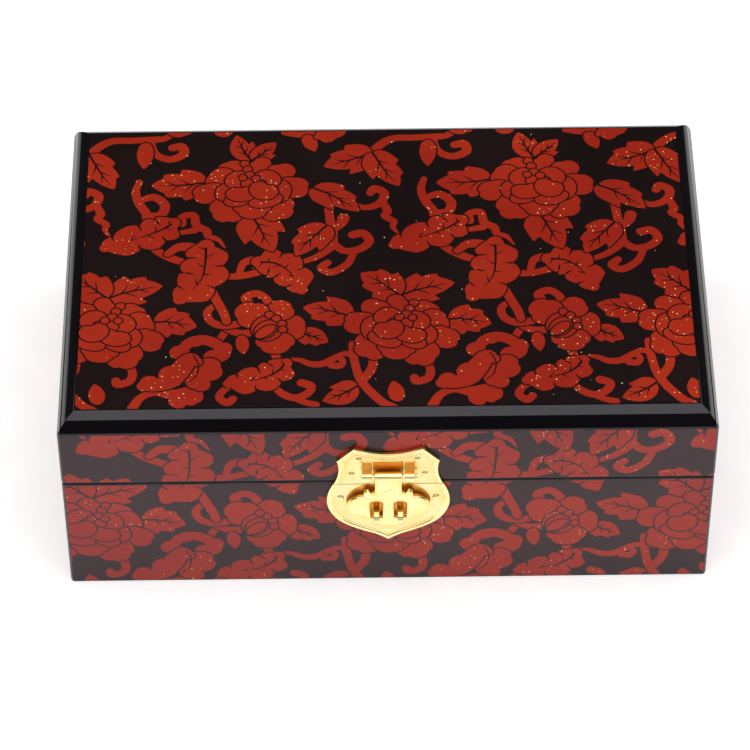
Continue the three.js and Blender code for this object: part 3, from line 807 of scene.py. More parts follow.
        self.flower(shapes, x, y, turn, flip, size)

    def small_blossom(self, x: float, y: float, turn: float = 0.0, flip: int = 1) -> None:
        """Adds a half-open peony: four petals round a ribbed cup, with stamens along its rim.

        Args:
            x: Its middle.
            y: Its middle.
            turn: The angle in degrees.
            flip: -1 if mirrored, or else 1.
        """
        petals = (
            (7.8, -0.6, 4.6, 6, 0, 2), (2.2, 8.6, 5, 5.6, 75, 3), (-8.6, 6.4, 6.8, 6.8, 140, 3),
            (0.4, -8.4, 5.6, 7.4, -90, 3), (-2.6, -0.8, 6.6, 5.8, 60, 0), (-3.2, -1.6, 5.2, 3.6, 50, 0),
            (-3.4, -2.6, 4.4, 2, 40, 0),
        )
        stamens = ((-1.9, 6.2, 1.4), (0.8, 4.2, 1.35), (3, 1.4, 1.35), (3.3, -1.6, 1.3))
        shapes = [oval(*petal) for petal in petals] + [oval(px, py, r, r) for px, py, r in stamens]
        self.flower(shapes, x, y, turn, flip, 1)

    def lower_curls(self) -> None:
        """Draws what grows below the lower row of blossoms."""
        self.stems(
            ([(90.6, -9), (91, -17), (93.6, -28), (100.5, -38), (106, -42)], (3, 2.8, 3.2, 3)),
            ([(94.2, -27.5), (97.6, -22), (98.4, -16.5)], (3.4, 3)),
            ([(92, -30), (88.5, -31.5), (84, -33.5)], (2.2, 2)),
            ([(65, -16.4), (70, -17), (74.6, -19.2), (79.2, -19), (83, -16.6), (87.4, -14), (91, -15.2)],
             (0.4, 2, 2.8, 2.8, 2.2, 2.2)),
            ([(83.6, -15.4), (86.6, -17.4), (85.6, -20.2), (82.4, -20)], (1.6, 2.4, 2.8)),
        )
        self.leaf((92, -30.8), (79, -38.2), 10.5, PLAIN, IVY, 0.6)
        self.drop((107.6, -38.6), (105.8, -28.4), 6)
        curl = stroke([(7, -41), (10, -35.6), (15.5, -32.6), (22, -34), (27.6, -33)], (3.6, 2.8, 4.2, 5))
        self.motif([curl, oval(29.6, -35, 4, 4.6, 0, 3), oval(24.4, -37.6, 3.8, 3.2, -35, 2)])
        self.stems(([(41.6, -2), (39.8, -5.4), (38.6, -7.6)], (2.6, 2.6)))
        arch = [(24.6, -12.6), (27.6, -7.8), (33, -6), (38.4, -8.4), (41.4, -13.4), (38.2, -16.2)]
        ends = [oval(24.4, -12.4, 3.8, 3.4, 0, 2), oval(37.4, -15, 3.8, 3.4, 0, 2), oval(41.6, -10.8, 2.6, 3)]
        self.motif([stroke(arch, (3.6, 4.4, 4.6, 4.4, 4.6, 4.2)), oval(30, -6.8, 3, 2.6), *ends])
        self.motif([oval(34.6, -21.6, 6.4, 6.2, 12, 4), oval(31.6, -27.4, 5.4, 4.4, -50, 3)])
        wave = [(10.8, -29.6), (16.4, -29.2), (21.6, -26.8), (24.6, -21.6), (28.2, -16.2), (31, -17.4)]
        bulges = [oval(13.2, -27.6, 3.4, 3), oval(20.6, -23.4, 4.2, 3.6, 45)]
        vein = stroke([(29.6, -14), (31.6, -18.8), (30.8, -24.6), (27.4, -28.6)], (0.5, 0.6, 0.4))
        self.motif([stroke(wave, (4.4, 5.6, 6.8, 8, 6.4, 4)), *bulges], [vein])
        self.stems(
            ([(60, -29.6), (63.6, -34.2), (68.6, -36.4), (73.2, -34.2), (74.6, -30.6), (71, -28.8)],
             (2.2, 3, 3, 3, 3.4)),
            ([(66.8, -35.6), (72, -38.6), (76.4, -40)], (2.2, 2.6)),
            ([(46.4, -29.4), (42, -31.6), (39.8, -35.6), (42.8, -38.6), (45, -36.6)], (2, 2.6, 3, 2.8)),
        )
        self.stems(([(60.6, -12.6), (61.6, -17.6), (60.4, -20.6)], (3, 3)))
        self.curled_leaf([(64.6, -19), (60.6, -23.8), (53, -27), (43.6, -28.6)], 12.5)

    def lower_row(self) -> None:
        """Draws the small blossom and the lower large one, with their stems and leaves."""
        self.stems(([(57.2, 10.4), (57.6, 14.6), (53.6, 18.2), (49.2, 16.2), (50.4, 13.4)], (3, 3, 3.2, 3.2)))
        self.stems(
            ([(42.2, -0.6), (47.4, -2.8), (54.4, -2.2)], (2.4, 3.2, 3)),
            ([(47.6, -3.2), (48, -5.4)], (2.6, 3.4)),
        )
        self.drop((47.8, -4), (48.8, -13.6), 4.8)
        self.stems(
            ([(38.2, 13), (34.6, 8.8), (36, 3.6), (41.2, 1.2), (48.6, 2.8)], (2, 2.8, 3, 3, 3.2)),
        )
        self.stems(([(35.6, 20.6), (38.4, 13.8), (41, 7.6), (42, 3.4)], (3.2, 3.2, 3)))
        self.leaf((69.8, -2.8), (81, -7.8), 8.8, PLAIN, NOTCHED, 0.4)
        self.small_blossom(60.4, 0.6)
        self.stems(([(4.6, -17.6), (6.6, -22.6), (5.6, -27), (1.2, -28.6), (0.4, -26.6)], (2.6, 3, 3.2, 3)))
        self.leaf((14.2, 3.6), (30.4, 1), 13.5, NOTCHED, NOTCHED, 0.8)
        self.leaf((90, 5.6), (71.6, 10.6), 13.5, NOTCHED, IVY, -0.8)
        self.leaf((-3.4, 16.8), (16.8, 22.8), 14.5, NOTCHED, IVY, 0.8)
        self.leaf((-4.6, 16.6), (-19.4, 28.4), 14, NOTCHED, NOTCHED, -0.8)
        self.blossom(-3.6, -2.4, -9, -1, 0.98)

    def middle_band(self) -> None:
        """Draws the curled leaves, loops and tendrils between the two rows."""
        self.stems(
            ([(6.2, 80.2), (4.9, 74.6), (6.2, 68.6), (9.4, 62.6)], (2.2, 2.8, 3.2, 3.4)),
            ([(7.2, 70), (12.4, 71.4), (16.6, 67), (15.2, 61.6), (9.8, 60.6)], (2.6, 3.4, 3.6, 3.6, 3.8)),
        )
        self.stems(
            ([(20.6, 51), (24.8, 52), (28.8, 52.8)], (1.8, 2.2, 2.8)),
            ([(23.6, 56.6), (23.8, 60.4), (28.2, 61.2), (29.4, 55.6), (33.4, 52.6), (34.2, 49.4), (38, 47.6),
              (40.8, 43.2)], (3.4, 3, 2.8, 3.2, 3, 2.6, 1.8, 0.3)),
        )
        self.stems(([(10.6, 48.6), (13.4, 42.6), (19.4, 38), (25, 35.2)], (2.4, 3, 3.4, 3)))
        self.curled_leaf([(19.8, 56.6), (14.6, 52.6), (6, 48.6), (-5.6, 44)], 14.5)
        self.stems(
            ([(18.4, 40), (23, 43.8), (29.4, 42.6), (32, 37), (29, 31.4)], (2.6, 3.8, 4.6, 5, 4.6)),
        )
        self.stems(
            ([(40.4, 27.6), (47, 27.6), (54, 29.6)], (2.8, 2.8, 3)),
            ([(46.6, 29.6), (48.6, 35), (54.2, 36), (58, 32)], (2.2, 3, 4.2, 4.8)),
        )
        self.curled_leaf([(33.4, 43.6), (33.2, 34), (31.4, 25), (24.2, 16)], 17)
        self.stems(
            ([(72, 35.2), (77.4, 38), (82.6, 43.4), (83, 50), (82.2, 57), (81.4, 64.6)],
             (2, 2.8, 3.4, 3.2, 3)),
            ([(82.6, 45.6), (87.4, 40.8), (93.6, 41.6), (97.4, 45.8), (95, 50.2), (91, 49.4)],
             (3, 3, 3.2, 3.4, 3.6)),
            ([(83.6, 52.6), (86.4, 55.6), (87.4, 58.8)], (2.8, 3.6, 4.4)),
            ([(91.4, 39.8), (88.6, 33.4), (82.6, 29.2), (78.6, 31.4), (81, 34.4)], (2.4, 2.8, 3.2, 3.2, 2.8)),
        )
        self.curled_leaf([(54.6, 35.2), (61, 34.2), (66.6, 29), (70.6, 20.4)], 14.5)
        self.leaf((80.6, 54.6), (68.6, 38.4), 13, IVY, NOTCHED, -0.6)

    def upper_row(self) -> None:
        """Draws the upper large blossom, its leaves, and what grows above it."""
        self.leaf((51.2, 60.6), (59.8, 40.8), 17, IVY, IVY)
        self.leaf((32.6, 79.6), (11.2, 78), 15, NOTCHED, NOTCHED, 0.8)
        self.leaf((50.4, 92), (44.6, 106), 10, PLAIN, IVY, 0.6)
        self.leaf((51.2, 92), (60.4, 101.6), 8.6, PLAIN, IVY, -0.4)
        self.blossom(50.2, 74.4)
        self.stems(
            ([(90.4, 67.4), (96, 64.4), (102, 67), (103.6, 72.4), (99.8, 75), (98.2, 72.6)],
             (1.6, 2.6, 3.2, 3.4, 3.4, 3)),
            ([(102.4, 68.4), (104.8, 62.4), (103.6, 59.6), (107.2, 56.6), (106.8, 53.4), (109.4, 49.2)],
             (2.6, 3.2, 2.6, 2.6, 1.8, 0.3)),
        )
        self.leaf((75.6, 75.6), (93.4, 62.4), 12.5, NOTCHED, IVY, 1)
        self.stems(
            ([(97.6, 92.6), (101.6, 99), (107.6, 103.4), (116, 103.8), (126.6, 104.4)],
             (3.4, 3.6, 3.2, 3, 3)),
            ([(123.4, 103.6), (125.6, 96), (131.2, 92.8), (136.8, 95.6), (136, 100), (132.4, 99.4)],
             (2.4, 3, 3.4, 3.6, 3.4)),
            ([(132, 107), (128.6, 104.6), (124, 103.8)], (2.6, 2.6)),
        )
        self.drop((121.6, 102.4), (121.2, 87.6), 6.4)
        self.leaf((99, 95.6), (79.8, 87.8), 14.5, IVY, NOTCHED, 0.6)
        self.leaf((99.2, 95.4), (109.6, 76.4), 13, NOTCHED, IVY, -0.6)
        self.stems(([(64, 107.4), (70.4, 106.2), (78, 107.6), (84, 112)], (2.6, 3, 3)))
        self.drop((72.4, 105.8), (76.2, 96.6), 5.6)
        self.curled_leaf([(86.6, 111.6), (82.6, 106.8), (77.4, 104.8)], 8, 2, vein=False)
        self.motif([oval(21.6, 109.4, 5, 3.8, 0, 3), oval(39.4, 109.2, 4, 3.6, 0, 2)])

    def draw(self) -> "PeonyScroll":
        """Draws the whole repeat from back to front.

        Returns:
            The scroll itself.
        """
        self.lower_curls()
        self.lower_row()
        self.middle_band()
        self.upper_row()
        return self

    def layers_over(self, border: Loop, start: Sequence[float], scale: float) -> list[tuple[Loop, bool]]:
        """The scaled layers of all repeats that touch a border, moved so that the repeat's origin is at start.

        Args:
            border: The border.
            start: Where the origin goes.
            scale: The scale.

        Returns:
            Each outline, and whether it is red.
        """
        (left, low), (right, high) = border.min(0), border.max(0)
        found = []
        for shift in range(-4, 5):
            for loop, is_red in self.layers:
                moved = (loop + [shift * self.repeat, 0]) * scale + start
                (x0, y0), (x1, y1) = moved.min(0), moved.max(0)
                if x1 > left and x0 < right and y1 > low and y0 < high:
                    found.append((moved, is_red))
        return found


# ---- Shader nodes ----


class Graph:
    """Short calls for a tree of shader nodes."""

    def __init__(self, tree: bpy.types.NodeTree) -> None:
        """Keeps the tree."""
        self.tree = tree

    def add(self, kind: str, inputs: dict | None = None, **settings: object) -> Node:
        """Adds a node, sets its properties, and links or sets its inputs by name or number.

        Args:
            kind: The node's type.
            inputs: Sockets or values by input.
            settings: The node's properties.

        Returns:
            The node.
        """
        node = self.tree.nodes.new(kind)
        for key, value in settings.items():
            setattr(node, key, value)
        self.feed(node, inputs or {})
        return node

    def feed(self, node: Node, inputs: dict) -> None:
        """Links or sets a node's inputs by name or number.

        Args:
            node: The node.
            inputs: Sockets or values by input.
        """
        for key, value in inputs.items():
            if isinstance(value, Socket):
                self.tree.links.new(value, node.inputs[key])
            else:
                node.inputs[key].default_value = value

    def math(self, operation: str, *values: object, clamp: bool = False) -> Socket:
        """A sum on sockets or numbers."""
        node = self.add("ShaderNodeMath", dict(enumerate(values)), operation=operation, use_clamp=clamp)
        return node.outputs[0]

    def mix(self, share: object, first: object, second: object) -> Socket:
        """A blend of two colours."""
        return self.add("ShaderNodeMix", {0: share, 6: first, 7: second}, data_type="RGBA").outputs[2]

    def noise(self, vector: Socket, scale: float, detail: float = 3.0) -> Socket:
        """Smooth noise of a number of waves a metre."""
        return self.add("ShaderNodeTexNoise", {"Vector": vector, "Scale": scale, "Detail": detail}).outputs[0]

    def ramp(self, value: object, low: float, high: float) -> Socket:
        """0 below low, 1 above high, and smooth between."""
        ends = {"Value": value, "From Min": low, "From Max": high}
        return self.add("ShaderNodeMapRange", ends, interpolation_type="SMOOTHSTEP").outputs[0]


def shared_group(
    name: str, inputs: Sequence[tuple[str, str]], outputs: Sequence[tuple[str, str]],
    fill: Callable[[Graph, Node, Node], None],
) -> bpy.types.NodeTree:
    """Returns the node group of that name, made on its first use.

    Args:
        name: The group's name.
        inputs: Name and kind of each input.
        outputs: Name and kind of each output.
        fill: Adds the nodes, given the graph, its input node and its output node.

    Returns:
        The group.
    """
    found = bpy.data.node_groups.get(name)
    if found:
        return found
    group = bpy.data.node_groups.new(name, "ShaderNodeTree")
    for direction, sockets in (("INPUT", inputs), ("OUTPUT", outputs)):
        for socket, kind in sockets:
            group.interface.new_socket(socket, in_out=direction, socket_type=f"NodeSocket{kind}")
    graph = Graph(group)
    fill(graph, graph.add("NodeGroupInput"), graph.add("NodeGroupOutput"))
    return group


def fill_gold_flecks(graph: Graph, given: Node, out: Node) -> None:
    """Gold flecks: small discs round scattered points, dropped at random and denser in some places.

    Args:
        graph: The group's nodes.
        given: Its input node.
        out: Its output node.
    """
    vector = given.outputs["Vector"]
    cells = graph.add("ShaderNodeTexVoronoi", {"Vector": vector, "Scale": 560.0, "Randomness": 1.0})
    split = graph.add("ShaderNodeSeparateColor", {"Color": cells.outputs["Color"]})
    size = graph.math("MULTIPLY_ADD", split.outputs[0], 0.09, 0.078)
    disc = graph.math("LESS_THAN", cells.outputs["Distance"], size)
    crowd = graph.ramp(graph.noise(vector, 34.0, 1.0), 0.46, 0.66)
    wanted = graph.math("MULTIPLY", crowd, given.outputs["Density"])
    share = graph.math("MULTIPLY_ADD", given.outputs["Density"], 0.04, wanted)
    chosen = graph.math("LESS_THAN", split.outputs[1], share)
    mask = graph.math("MULTIPLY", disc, chosen)
    tone = graph.mix(split.outputs[2], (1.0, 0.48, 0.06, 1), (1.0, 0.86, 0.36, 1))
    graph.feed(out, {"Mask": mask, "Colour": tone})


def fill_polish(graph: Graph, given: Node, out: Node) -> None:
    """Hand polish: roughness that drifts over the surface, hair-fine scratches, and a faint unevenness.

    Args:
        graph: The group's nodes.
        given: Its input node.
        out: Its output node.
    """
    vector = given.outputs["Vector"]
    drift = graph.noise(vector, 22.0, 3.0)
    stretched = graph.add("ShaderNodeMapping", {"Vector": vector, "Scale": (40.0, 900.0, 420.0)})
    hairs = graph.ramp(graph.noise(stretched.outputs[0], 1.0, 4.0), 0.60, 0.74)
    spread = given.outputs["Spread"]
    moved = graph.math("MULTIPLY_ADD", graph.math("SUBTRACT", drift, 0.5), spread, given.outputs["Roughness"])
    rough = graph.math("ADD", moved, graph.math("MULTIPLY", hairs, graph.math("MULTIPLY", spread, 0.35)), clamp=True)
    height = graph.math("ADD", graph.noise(vector, 90.0, 2.0), graph.math("MULTIPLY", hairs, -0.15))
    graph.feed(out, {"Roughness": rough, "Height": height})


def fill_nap(graph: Graph, given: Node, out: Node) -> None:
    """Velvet pile: fine tufts, soft brushed patches, and colour that follows both.

    Args:
        graph: The group's nodes.
        given: Its input node.
        out: Its output node.
    """
    vector = given.outputs["Vector"]
    tufts = graph.noise(vector, 2600.0, 2.0)
    brushed = graph.ramp(graph.noise(vector, 38.0, 4.0), 0.35, 0.68)
    share = graph.math("MULTIPLY_ADD", brushed, 0.55, graph.math("MULTIPLY", tufts, 0.45))
    colour = graph.mix(share, given.outputs["Dark"], given.outputs["Light"])
    graph.feed(out, {"Colour": colour, "Height": graph.math("MULTIPLY_ADD", brushed, 0.4, tufts)})


def fill_punched(graph: Graph, given: Node, out: Node) -> None:
    """Punched ground: rows of round dots, from the product of two waves across the plate.

    Args:
        graph: The group's nodes.
        given: Its input node.
        out: Its output node.
    """
    axes = graph.add("ShaderNodeSeparateXYZ", {"Vector": given.outputs["Vector"]})
    wave = graph.math("DIVIDE", 2 * math.pi, given.outputs["Pitch"])
    across = graph.math("SINE", graph.math("MULTIPLY", axes.outputs[0], wave))
    along = graph.math("SINE", graph.math("MULTIPLY", axes.outputs[2], wave))
    graph.feed(out, {"Height": graph.ramp(graph.math("MULTIPLY", across, along), 0.05, 0.75)})


def gold_flecks() -> bpy.types.NodeTree:
    """The group of gold flecks."""
    ends = [("Vector", "Vector"), ("Density", "Float")], [("Mask", "Float"), ("Colour", "Color")]
    return shared_group("gold_flecks", *ends, fill_gold_flecks)


def polish() -> bpy.types.NodeTree:
    """The group of hand polish."""
    ends = [("Vector", "Vector"), ("Roughness", "Float"), ("Spread", "Float")]
    return shared_group("hand_polish", ends, [("Roughness", "Float"), ("Height", "Float")], fill_polish)


def nap() -> bpy.types.NodeTree:
    """The group of velvet pile."""
    ends = [("Vector", "Vector"), ("Dark", "Color"), ("Light", "Color")]
    return shared_group("velvet_nap", ends, [("Colour", "Color"), ("Height", "Float")], fill_nap)


def punched() -> bpy.types.NodeTree:
    """The group of punched ground."""
    ends = [("Vector", "Vector"), ("Pitch", "Float")], [("Height", "Float")]
    return shared_group("punched_ground", *ends, fill_punched)


# ---- Finishes ----


def new_material(name: str) -> tuple[Material, Graph, Node, Socket]:
    """A fresh material with its graph, its surface shader and its object coordinates.

    Args:
        name: Its name.

    Returns:
        The material, graph, shader and coordinates.
    """
    material = bpy.data.materials.new(name)
    material.use_nodes = True
    graph = Graph(material.node_tree)
    shader = material.node_tree.nodes["Principled BSDF"]
    place = graph.add("ShaderNodeTexCoord").outputs["Object"]
    return material, graph, shader, place


def link_bump(graph: Graph, shader: Node, height: Socket, depth: float, strength: float) -> None:
    """Feeds a height through a bump of a depth in millimetres to the shader."""
    bump = graph.add("ShaderNodeBump", {"Height": height, "Distance": depth * MM, "Strength": strength})
    graph.feed(shader, {"Normal": bump.outputs[0]})


def polished(graph: Graph, place: Socket, roughness: float, spread: float) -> Node:
    """The group of hand polish, placed in a material with its own roughness and spread."""
    ends = {"Vector": place, "Roughness": roughness, "Spread": spread}
    return graph.add("ShaderNodeGroup", ends, node_tree=polish())


@dataclass(frozen=True)
class Lacquer:
    """Coloured lacquer, polished, with or without gold flecks. The glint tints its reflections."""

    name: str
    dark: Colour
    light: Colour
    roughness: float
    spread: float
    flecks: float = 0.0
    glint: Colour = (1.0, 0.72, 0.80, 1)

    def material(self) -> Material:
        """The finish as a material.

        Returns:
            The material.
        """
        material, graph, shader, place = new_material(self.name)
        cloud = graph.ramp(graph.noise(place, 16.0, 4.0), 0.3, 0.7)
        colour = graph.mix(cloud, self.dark, self.light)
        worked = polished(graph, place, self.roughness, self.spread)
        if self.flecks:
            strewn = graph.add("ShaderNodeGroup", {"Vector": place, "Density": self.flecks}, node_tree=gold_flecks())
            colour = graph.mix(strewn.outputs["Mask"], colour, strewn.outputs["Colour"])
        rough = worked.outputs["Roughness"]
        graph.feed(shader, {"Base Color": colour, "Roughness": rough, "Specular Tint": self.glint})
        link_bump(graph, shader, worked.outputs["Height"], 0.02, 0.3)
        return material


@dataclass(frozen=True)
class Gilt:
    """Gilt metal, its colour drifting between two tones, polished or punched with dots of a pitch in millimetres."""

    name: str
    colour: Colour = (1.0, 0.80, 0.34, 1)
    pale: Colour = (1.0, 0.88, 0.46, 1)
    roughness: float = 0.16
    spread: float = 0.16
    pitch: float = 0.0

    def material(self) -> Material:
        """The finish as a material.

        Returns:
            The material.
        """
        material, graph, shader, place = new_material(self.name)
        tone = graph.mix(graph.ramp(graph.noise(place, 130.0, 3.0), 0.3, 0.7), self.colour, self.pale)
        worked = polished(graph, place, self.roughness, self.spread)
        graph.feed(shader, {"Base Color": tone, "Roughness": worked.outputs["Roughness"], "Metallic": 1.0})
        if self.pitch:
            dots = graph.add("ShaderNodeGroup", {"Vector": place, "Pitch": self.pitch * MM}, node_tree=punched())
            link_bump(graph, shader, dots.outputs["Height"], 0.07, 0.8)
        else:
            link_bump(graph, shader, worked.outputs["Height"], 0.02, 0.3)
        return material


@dataclass(frozen=True)
class Velvet:
    """Short-pile velvet."""

    name: str
    dark: Colour = (0.10, 0.004, 0.008, 1)
    light: Colour = (0.24, 0.012, 0.020, 1)

    def material(self) -> Material:
        """The finish as a material.

        Returns:
            The material.
        """
        material, graph, shader, place = new_material(self.name)
        ends = {"Vector": place, "Dark": self.dark, "Light": self.light}
        pile = graph.add("ShaderNodeGroup", ends, node_tree=nap())
        graph.feed(shader, {
            "Base Color": pile.outputs["Colour"], "Roughness": 0.9, "Sheen Weight": 0.6, "Sheen Roughness": 0.35,
            "Sheen Tint": (0.9, 0.35, 0.35, 1),
        })
        link_bump(graph, shader, pile.outputs["Height"], 0.3, 0.6)
        return material


@dataclass(frozen=True)
class Silvering:
    """Silvered glass with a faint green tint."""

    name: str

    def material(self) -> Material:
        """The finish as a material.

        Returns:
            The material.
        """
        material, graph, shader, place = new_material(self.name)
        tone = graph.mix(graph.noise(place, 12.0, 2.0), (0.80, 0.84, 0.82, 1), (0.86, 0.89, 0.88, 1))
        rough = polished(graph, place, 0.015, 0.02).outputs["Roughness"]
        graph.feed(shader, {"Base Color": tone, "Roughness": rough, "Metallic": 1.0, "Coat Weight": 0.5})
        return material


@dataclass
class Finishes:
    """Every material of the box, made once."""

    rim: Material = field(default_factory=Lacquer(
        "polished_black_lacquer", (0.0016, 0.0012, 0.0018, 1), (0.0034, 0.0024, 0.0034, 1), 0.05, 0.05,
        glint=(1.0, 0.93, 1.0, 1)).material)
    ground: Material = field(default_factory=Lacquer(
        "black_lacquer_ground", (0.0065, 0.0024, 0.0022, 1), (0.0105, 0.0044, 0.0040, 1), 0.30, 0.12, 0.04).material)
    red: Material = field(default_factory=Lacquer(
        "vermilion_lacquer", (0.31, 0.0112, 0.0008, 1), (0.425, 0.0225, 0.0021, 1), 0.34, 0.14, 1.0).material)
    gilt: Material = field(default_factory=Gilt("polished_gilt").material)
    tooled: Material = field(default_factory=Gilt("punched_gilt", roughness=0.2, pitch=0.62).material)
    # deep is punched gilt coloured deep orange: painted shade and painted reflection of the gilt round the sunk
    # fields and the lugs' slopes. Its dots are real punching.
    deep: Material = field(default_factory=Gilt(
        "deep_gilt", (0.80, 0.30, 0.035, 1), (0.95, 0.46, 0.08, 1), roughness=0.34, pitch=0.84).material)
    velvet: Material = field(default_factory=Velvet("crimson_velvet").material)
    mirror: Material = field(default_factory=Silvering("silvered_glass").material)


def settle(
    piece: Piece, body: Body, slot: Slot, materials: Sequence[Material], *nodes: str
) -> Piece:
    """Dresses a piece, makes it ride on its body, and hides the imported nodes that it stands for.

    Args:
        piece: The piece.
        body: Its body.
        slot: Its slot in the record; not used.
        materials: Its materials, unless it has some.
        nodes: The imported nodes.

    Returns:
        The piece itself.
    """
    if not piece.data.materials:
        for material in materials:
            piece.data.materials.append(material)
    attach(piece, body.value)
    if nodes:
        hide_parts(*nodes)
    LOG.info("%s rides on %s, %d faces", piece.name, body.value, len(piece.data.polygons))
    return piece


# ---- The case and the lid ----


def along_x(points: Points) -> Points:
    """Turns a prism that stands up, drawn in (y, z), so that it lies along x."""
    return points[:, [2, 0, 1]]


@dataclass
class Hull:
    """The sizes that the case, the lid and all their fittings share."""

    lid_x: float = 125.0
    lid_y: float = 81.5
    base_x: float = 124.95
    base_y: float = 81.45
    corner: float = 1.3
    edge: float = 0.45
    rim: float = 58.65
    lid_bottom: float = 59.15
    seam: float = SEAM
    top: float = 94.0
    wall: float = 10.0
    floor: float = 6.0
    ceiling: float = 84.3
    edge_inset: float = 7.0
    edge_drop: float = 7.2
    edge_crown: float = 1.1
    axis_y: float = 78.5
    bevel: float = math.radians(50.5)
    skin: float = 0.05
    hinge_x: float = 75.0
    hinge_half: float = 17.0
    barrel: float = 2.1
    groove: float = 2.4
    mortise: float = 1.7
    clearance: float = 0.3

    def edge_arc(self, inset: float, height: float, start: float, out: int, up: int, steps: int = 4) -> Points:
        """A small quarter round at an edge whose corner is at (inset, height).

        The arc's angle a goes over 90 degrees from start, and a point is the corner moved inwards by
        edge (1 - |cos a|) and edge (1 - |sin a|).

        Args:
            inset: The corner's inset.
            height: Its height.
            start: The first angle.
            out: 1 if the arc is on the outer side, or else -1.
            up: 1 if it is on the under side, or else -1.
            steps: Its points.

        Returns:
            The arc's points.
        """
        angle = np.linspace(start, start + np.pi / 2, steps)
        x = inset + out * self.edge * (1 - np.abs(np.cos(angle)))
        z = height + up * self.edge * (1 - np.abs(np.sin(angle)))
        return np.stack([x, z], 1)

    def cutters(self, lid: bool) -> list[Piece]:
        """What is cut from the back edge: the stop's bevel, and a mortise and barrel groove for each hinge.

        Args:
            lid: Whether they are the lid's.

        Returns:
            The cutters.
        """
        side = 1 if lid else -1
        face = self.lid_bottom if lid else self.rim
        reach, past, beyond = 8.0, 140.0, face - side * 3
        wedge = np.array([
            (self.axis_y, beyond), (self.axis_y, face),
            (self.axis_y + reach, face + side * reach * math.tan(self.bevel)), (self.axis_y + reach, beyond),
        ])
        made = [prism("stop_wedge", wedge, -past, past, along_x)]
        turn = np.linspace(0, 2 * np.pi, 40, endpoint=False)
        groove = np.stack([self.axis_y + self.groove * np.cos(turn), self.seam + self.groove * np.sin(turn)], 1)
        deep, front, behind = face + side * self.mortise, self.lid_y - self.wall + 0.1, self.axis_y + 0.01
        pocket = np.array([(front, beyond), (front, deep), (behind, deep), (behind, beyond)])
        for x in (-self.hinge_x, self.hinge_x):
            ends = x - self.hinge_half - self.clearance, x + self.hinge_half + self.clearance
            made += [prism("mortise", pocket, *ends, along_x), prism("groove", groove, *ends, along_x)]
        return made


@dataclass
class Panel:
    """A flat field of the scroll on one side of the box.

    A point (u, v) of the field lies at origin + u across + v up. The scroll's repeat starts at start,
    drawn larger by scale.
    """

    name: str
    border: Loop
    origin: tuple[float, float, float]
    across: tuple[float, float, float]
    up: tuple[float, float, float]
    start: tuple[float, float]
    body: Body
    scale: float = 1.0

    def build(self, scroll: PeonyScroll, finishes: Finishes, skin: float) -> None:
        """Cuts the field along every outline of the scroll and colours each triangle by its topmost shape.

        Args:
            scroll: The drawing.
            finishes: The materials.
            skin: How far it stands out.
        """
        layers = scroll.layers_over(self.border, self.start, self.scale)
        flat, triangles, _ = triangulated([self.border, *(loop for loop, _ in layers)])
        centres = flat[triangles].mean(1)
        kept = inside(centres, self.border)
        triangles, centres = triangles[kept], centres[kept]
        kinds = np.zeros(len(triangles), int)
        for loop, is_red in layers:
            (x0, y0), (x1, y1) = loop.min(0), loop.max(0)
            near = np.flatnonzero(
                (centres[:, 0] > x0) & (centres[:, 0] < x1) & (centres[:, 1] > y0) & (centres[:, 1] < y1)
            )
            if len(near):
                kinds[near[inside(centres[near], loop)]] = int(is_red)
        across, up = np.array(self.across, float), np.array(self.up, float)
        outward = np.cross(across, up)
        placed = np.array(self.origin) + flat[:, :1] * across + flat[:, 1:] * up + skin * outward
        piece = slab(self.name, placed, triangles, lambda p: p - 2 * skin * outward, kinds)
        settle(piece, self.body, Slot.LACQUER, [finishes.ground, finishes.red])


def rectangle(x0: float, x1: float, y0: float, y1: float) -> Loop:
    """A rectangle as a loop."""
    return np.array([(x0, y0), (x1, y0), (x1, y1), (x0, y1)], float)


@dataclass
class Half:
    """What the case and the lid share: sizes, finishes, and how the scroll lies on the sides."""

    hull: Hull
    finishes: Finishes
    margin: float = 0.9
    scroll_left: float = -109.8
    scroll_foot: float = 33.5
    scroll_scale: float = 1.028

    def side_panels(self, body: Body, x: float, y: float, borders: Sequence[Loop]) -> list[Panel]:
        """The scroll's fields on the four sides, with its start moved on from side to side.

        Args:
            body: The body that they ride on.
            x: Half the length.
            y: Half the depth.
            borders: The fields' borders at the front, right, back and left.

        Returns:
            The panels in the same order.
        """
        sides = (
            ("front", (0, -y, 0), (1, 0, 0), 0), ("right", (x, 0, 0), (0, 1, 0), 8),
            ("back", (0, y, 0), (-1, 0, 0), 30), ("left", (-x, 0, 0), (0, -1, 0), 60),
        )
        return [
            Panel(f"{body.value}_{side}_scroll", border, origin, across, (0, 0, 1),
                  (self.scroll_left + shift, self.scroll_foot), body, self.scroll_scale)
            for (side, origin, across, shift), border in zip(sides, borders)
        ]

    def cover(self, carcass: Piece, body: Body, boards: Sequence[str], panels: Sequence[Panel],
              scroll: PeonyScroll) -> None:
        """Dresses a carcass and lays its fields on it.

        Args:
            carcass: The carcass.
            body: The body that it rides on.
            boards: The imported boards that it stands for.
            panels: Its fields.
            scroll: The drawing on them.
        """
        settle(carcass, body, Slot.LACQUER, [self.finishes.rim], *boards)
        for panel in panels:
            panel.build(scroll, self.finishes, self.hull.skin)


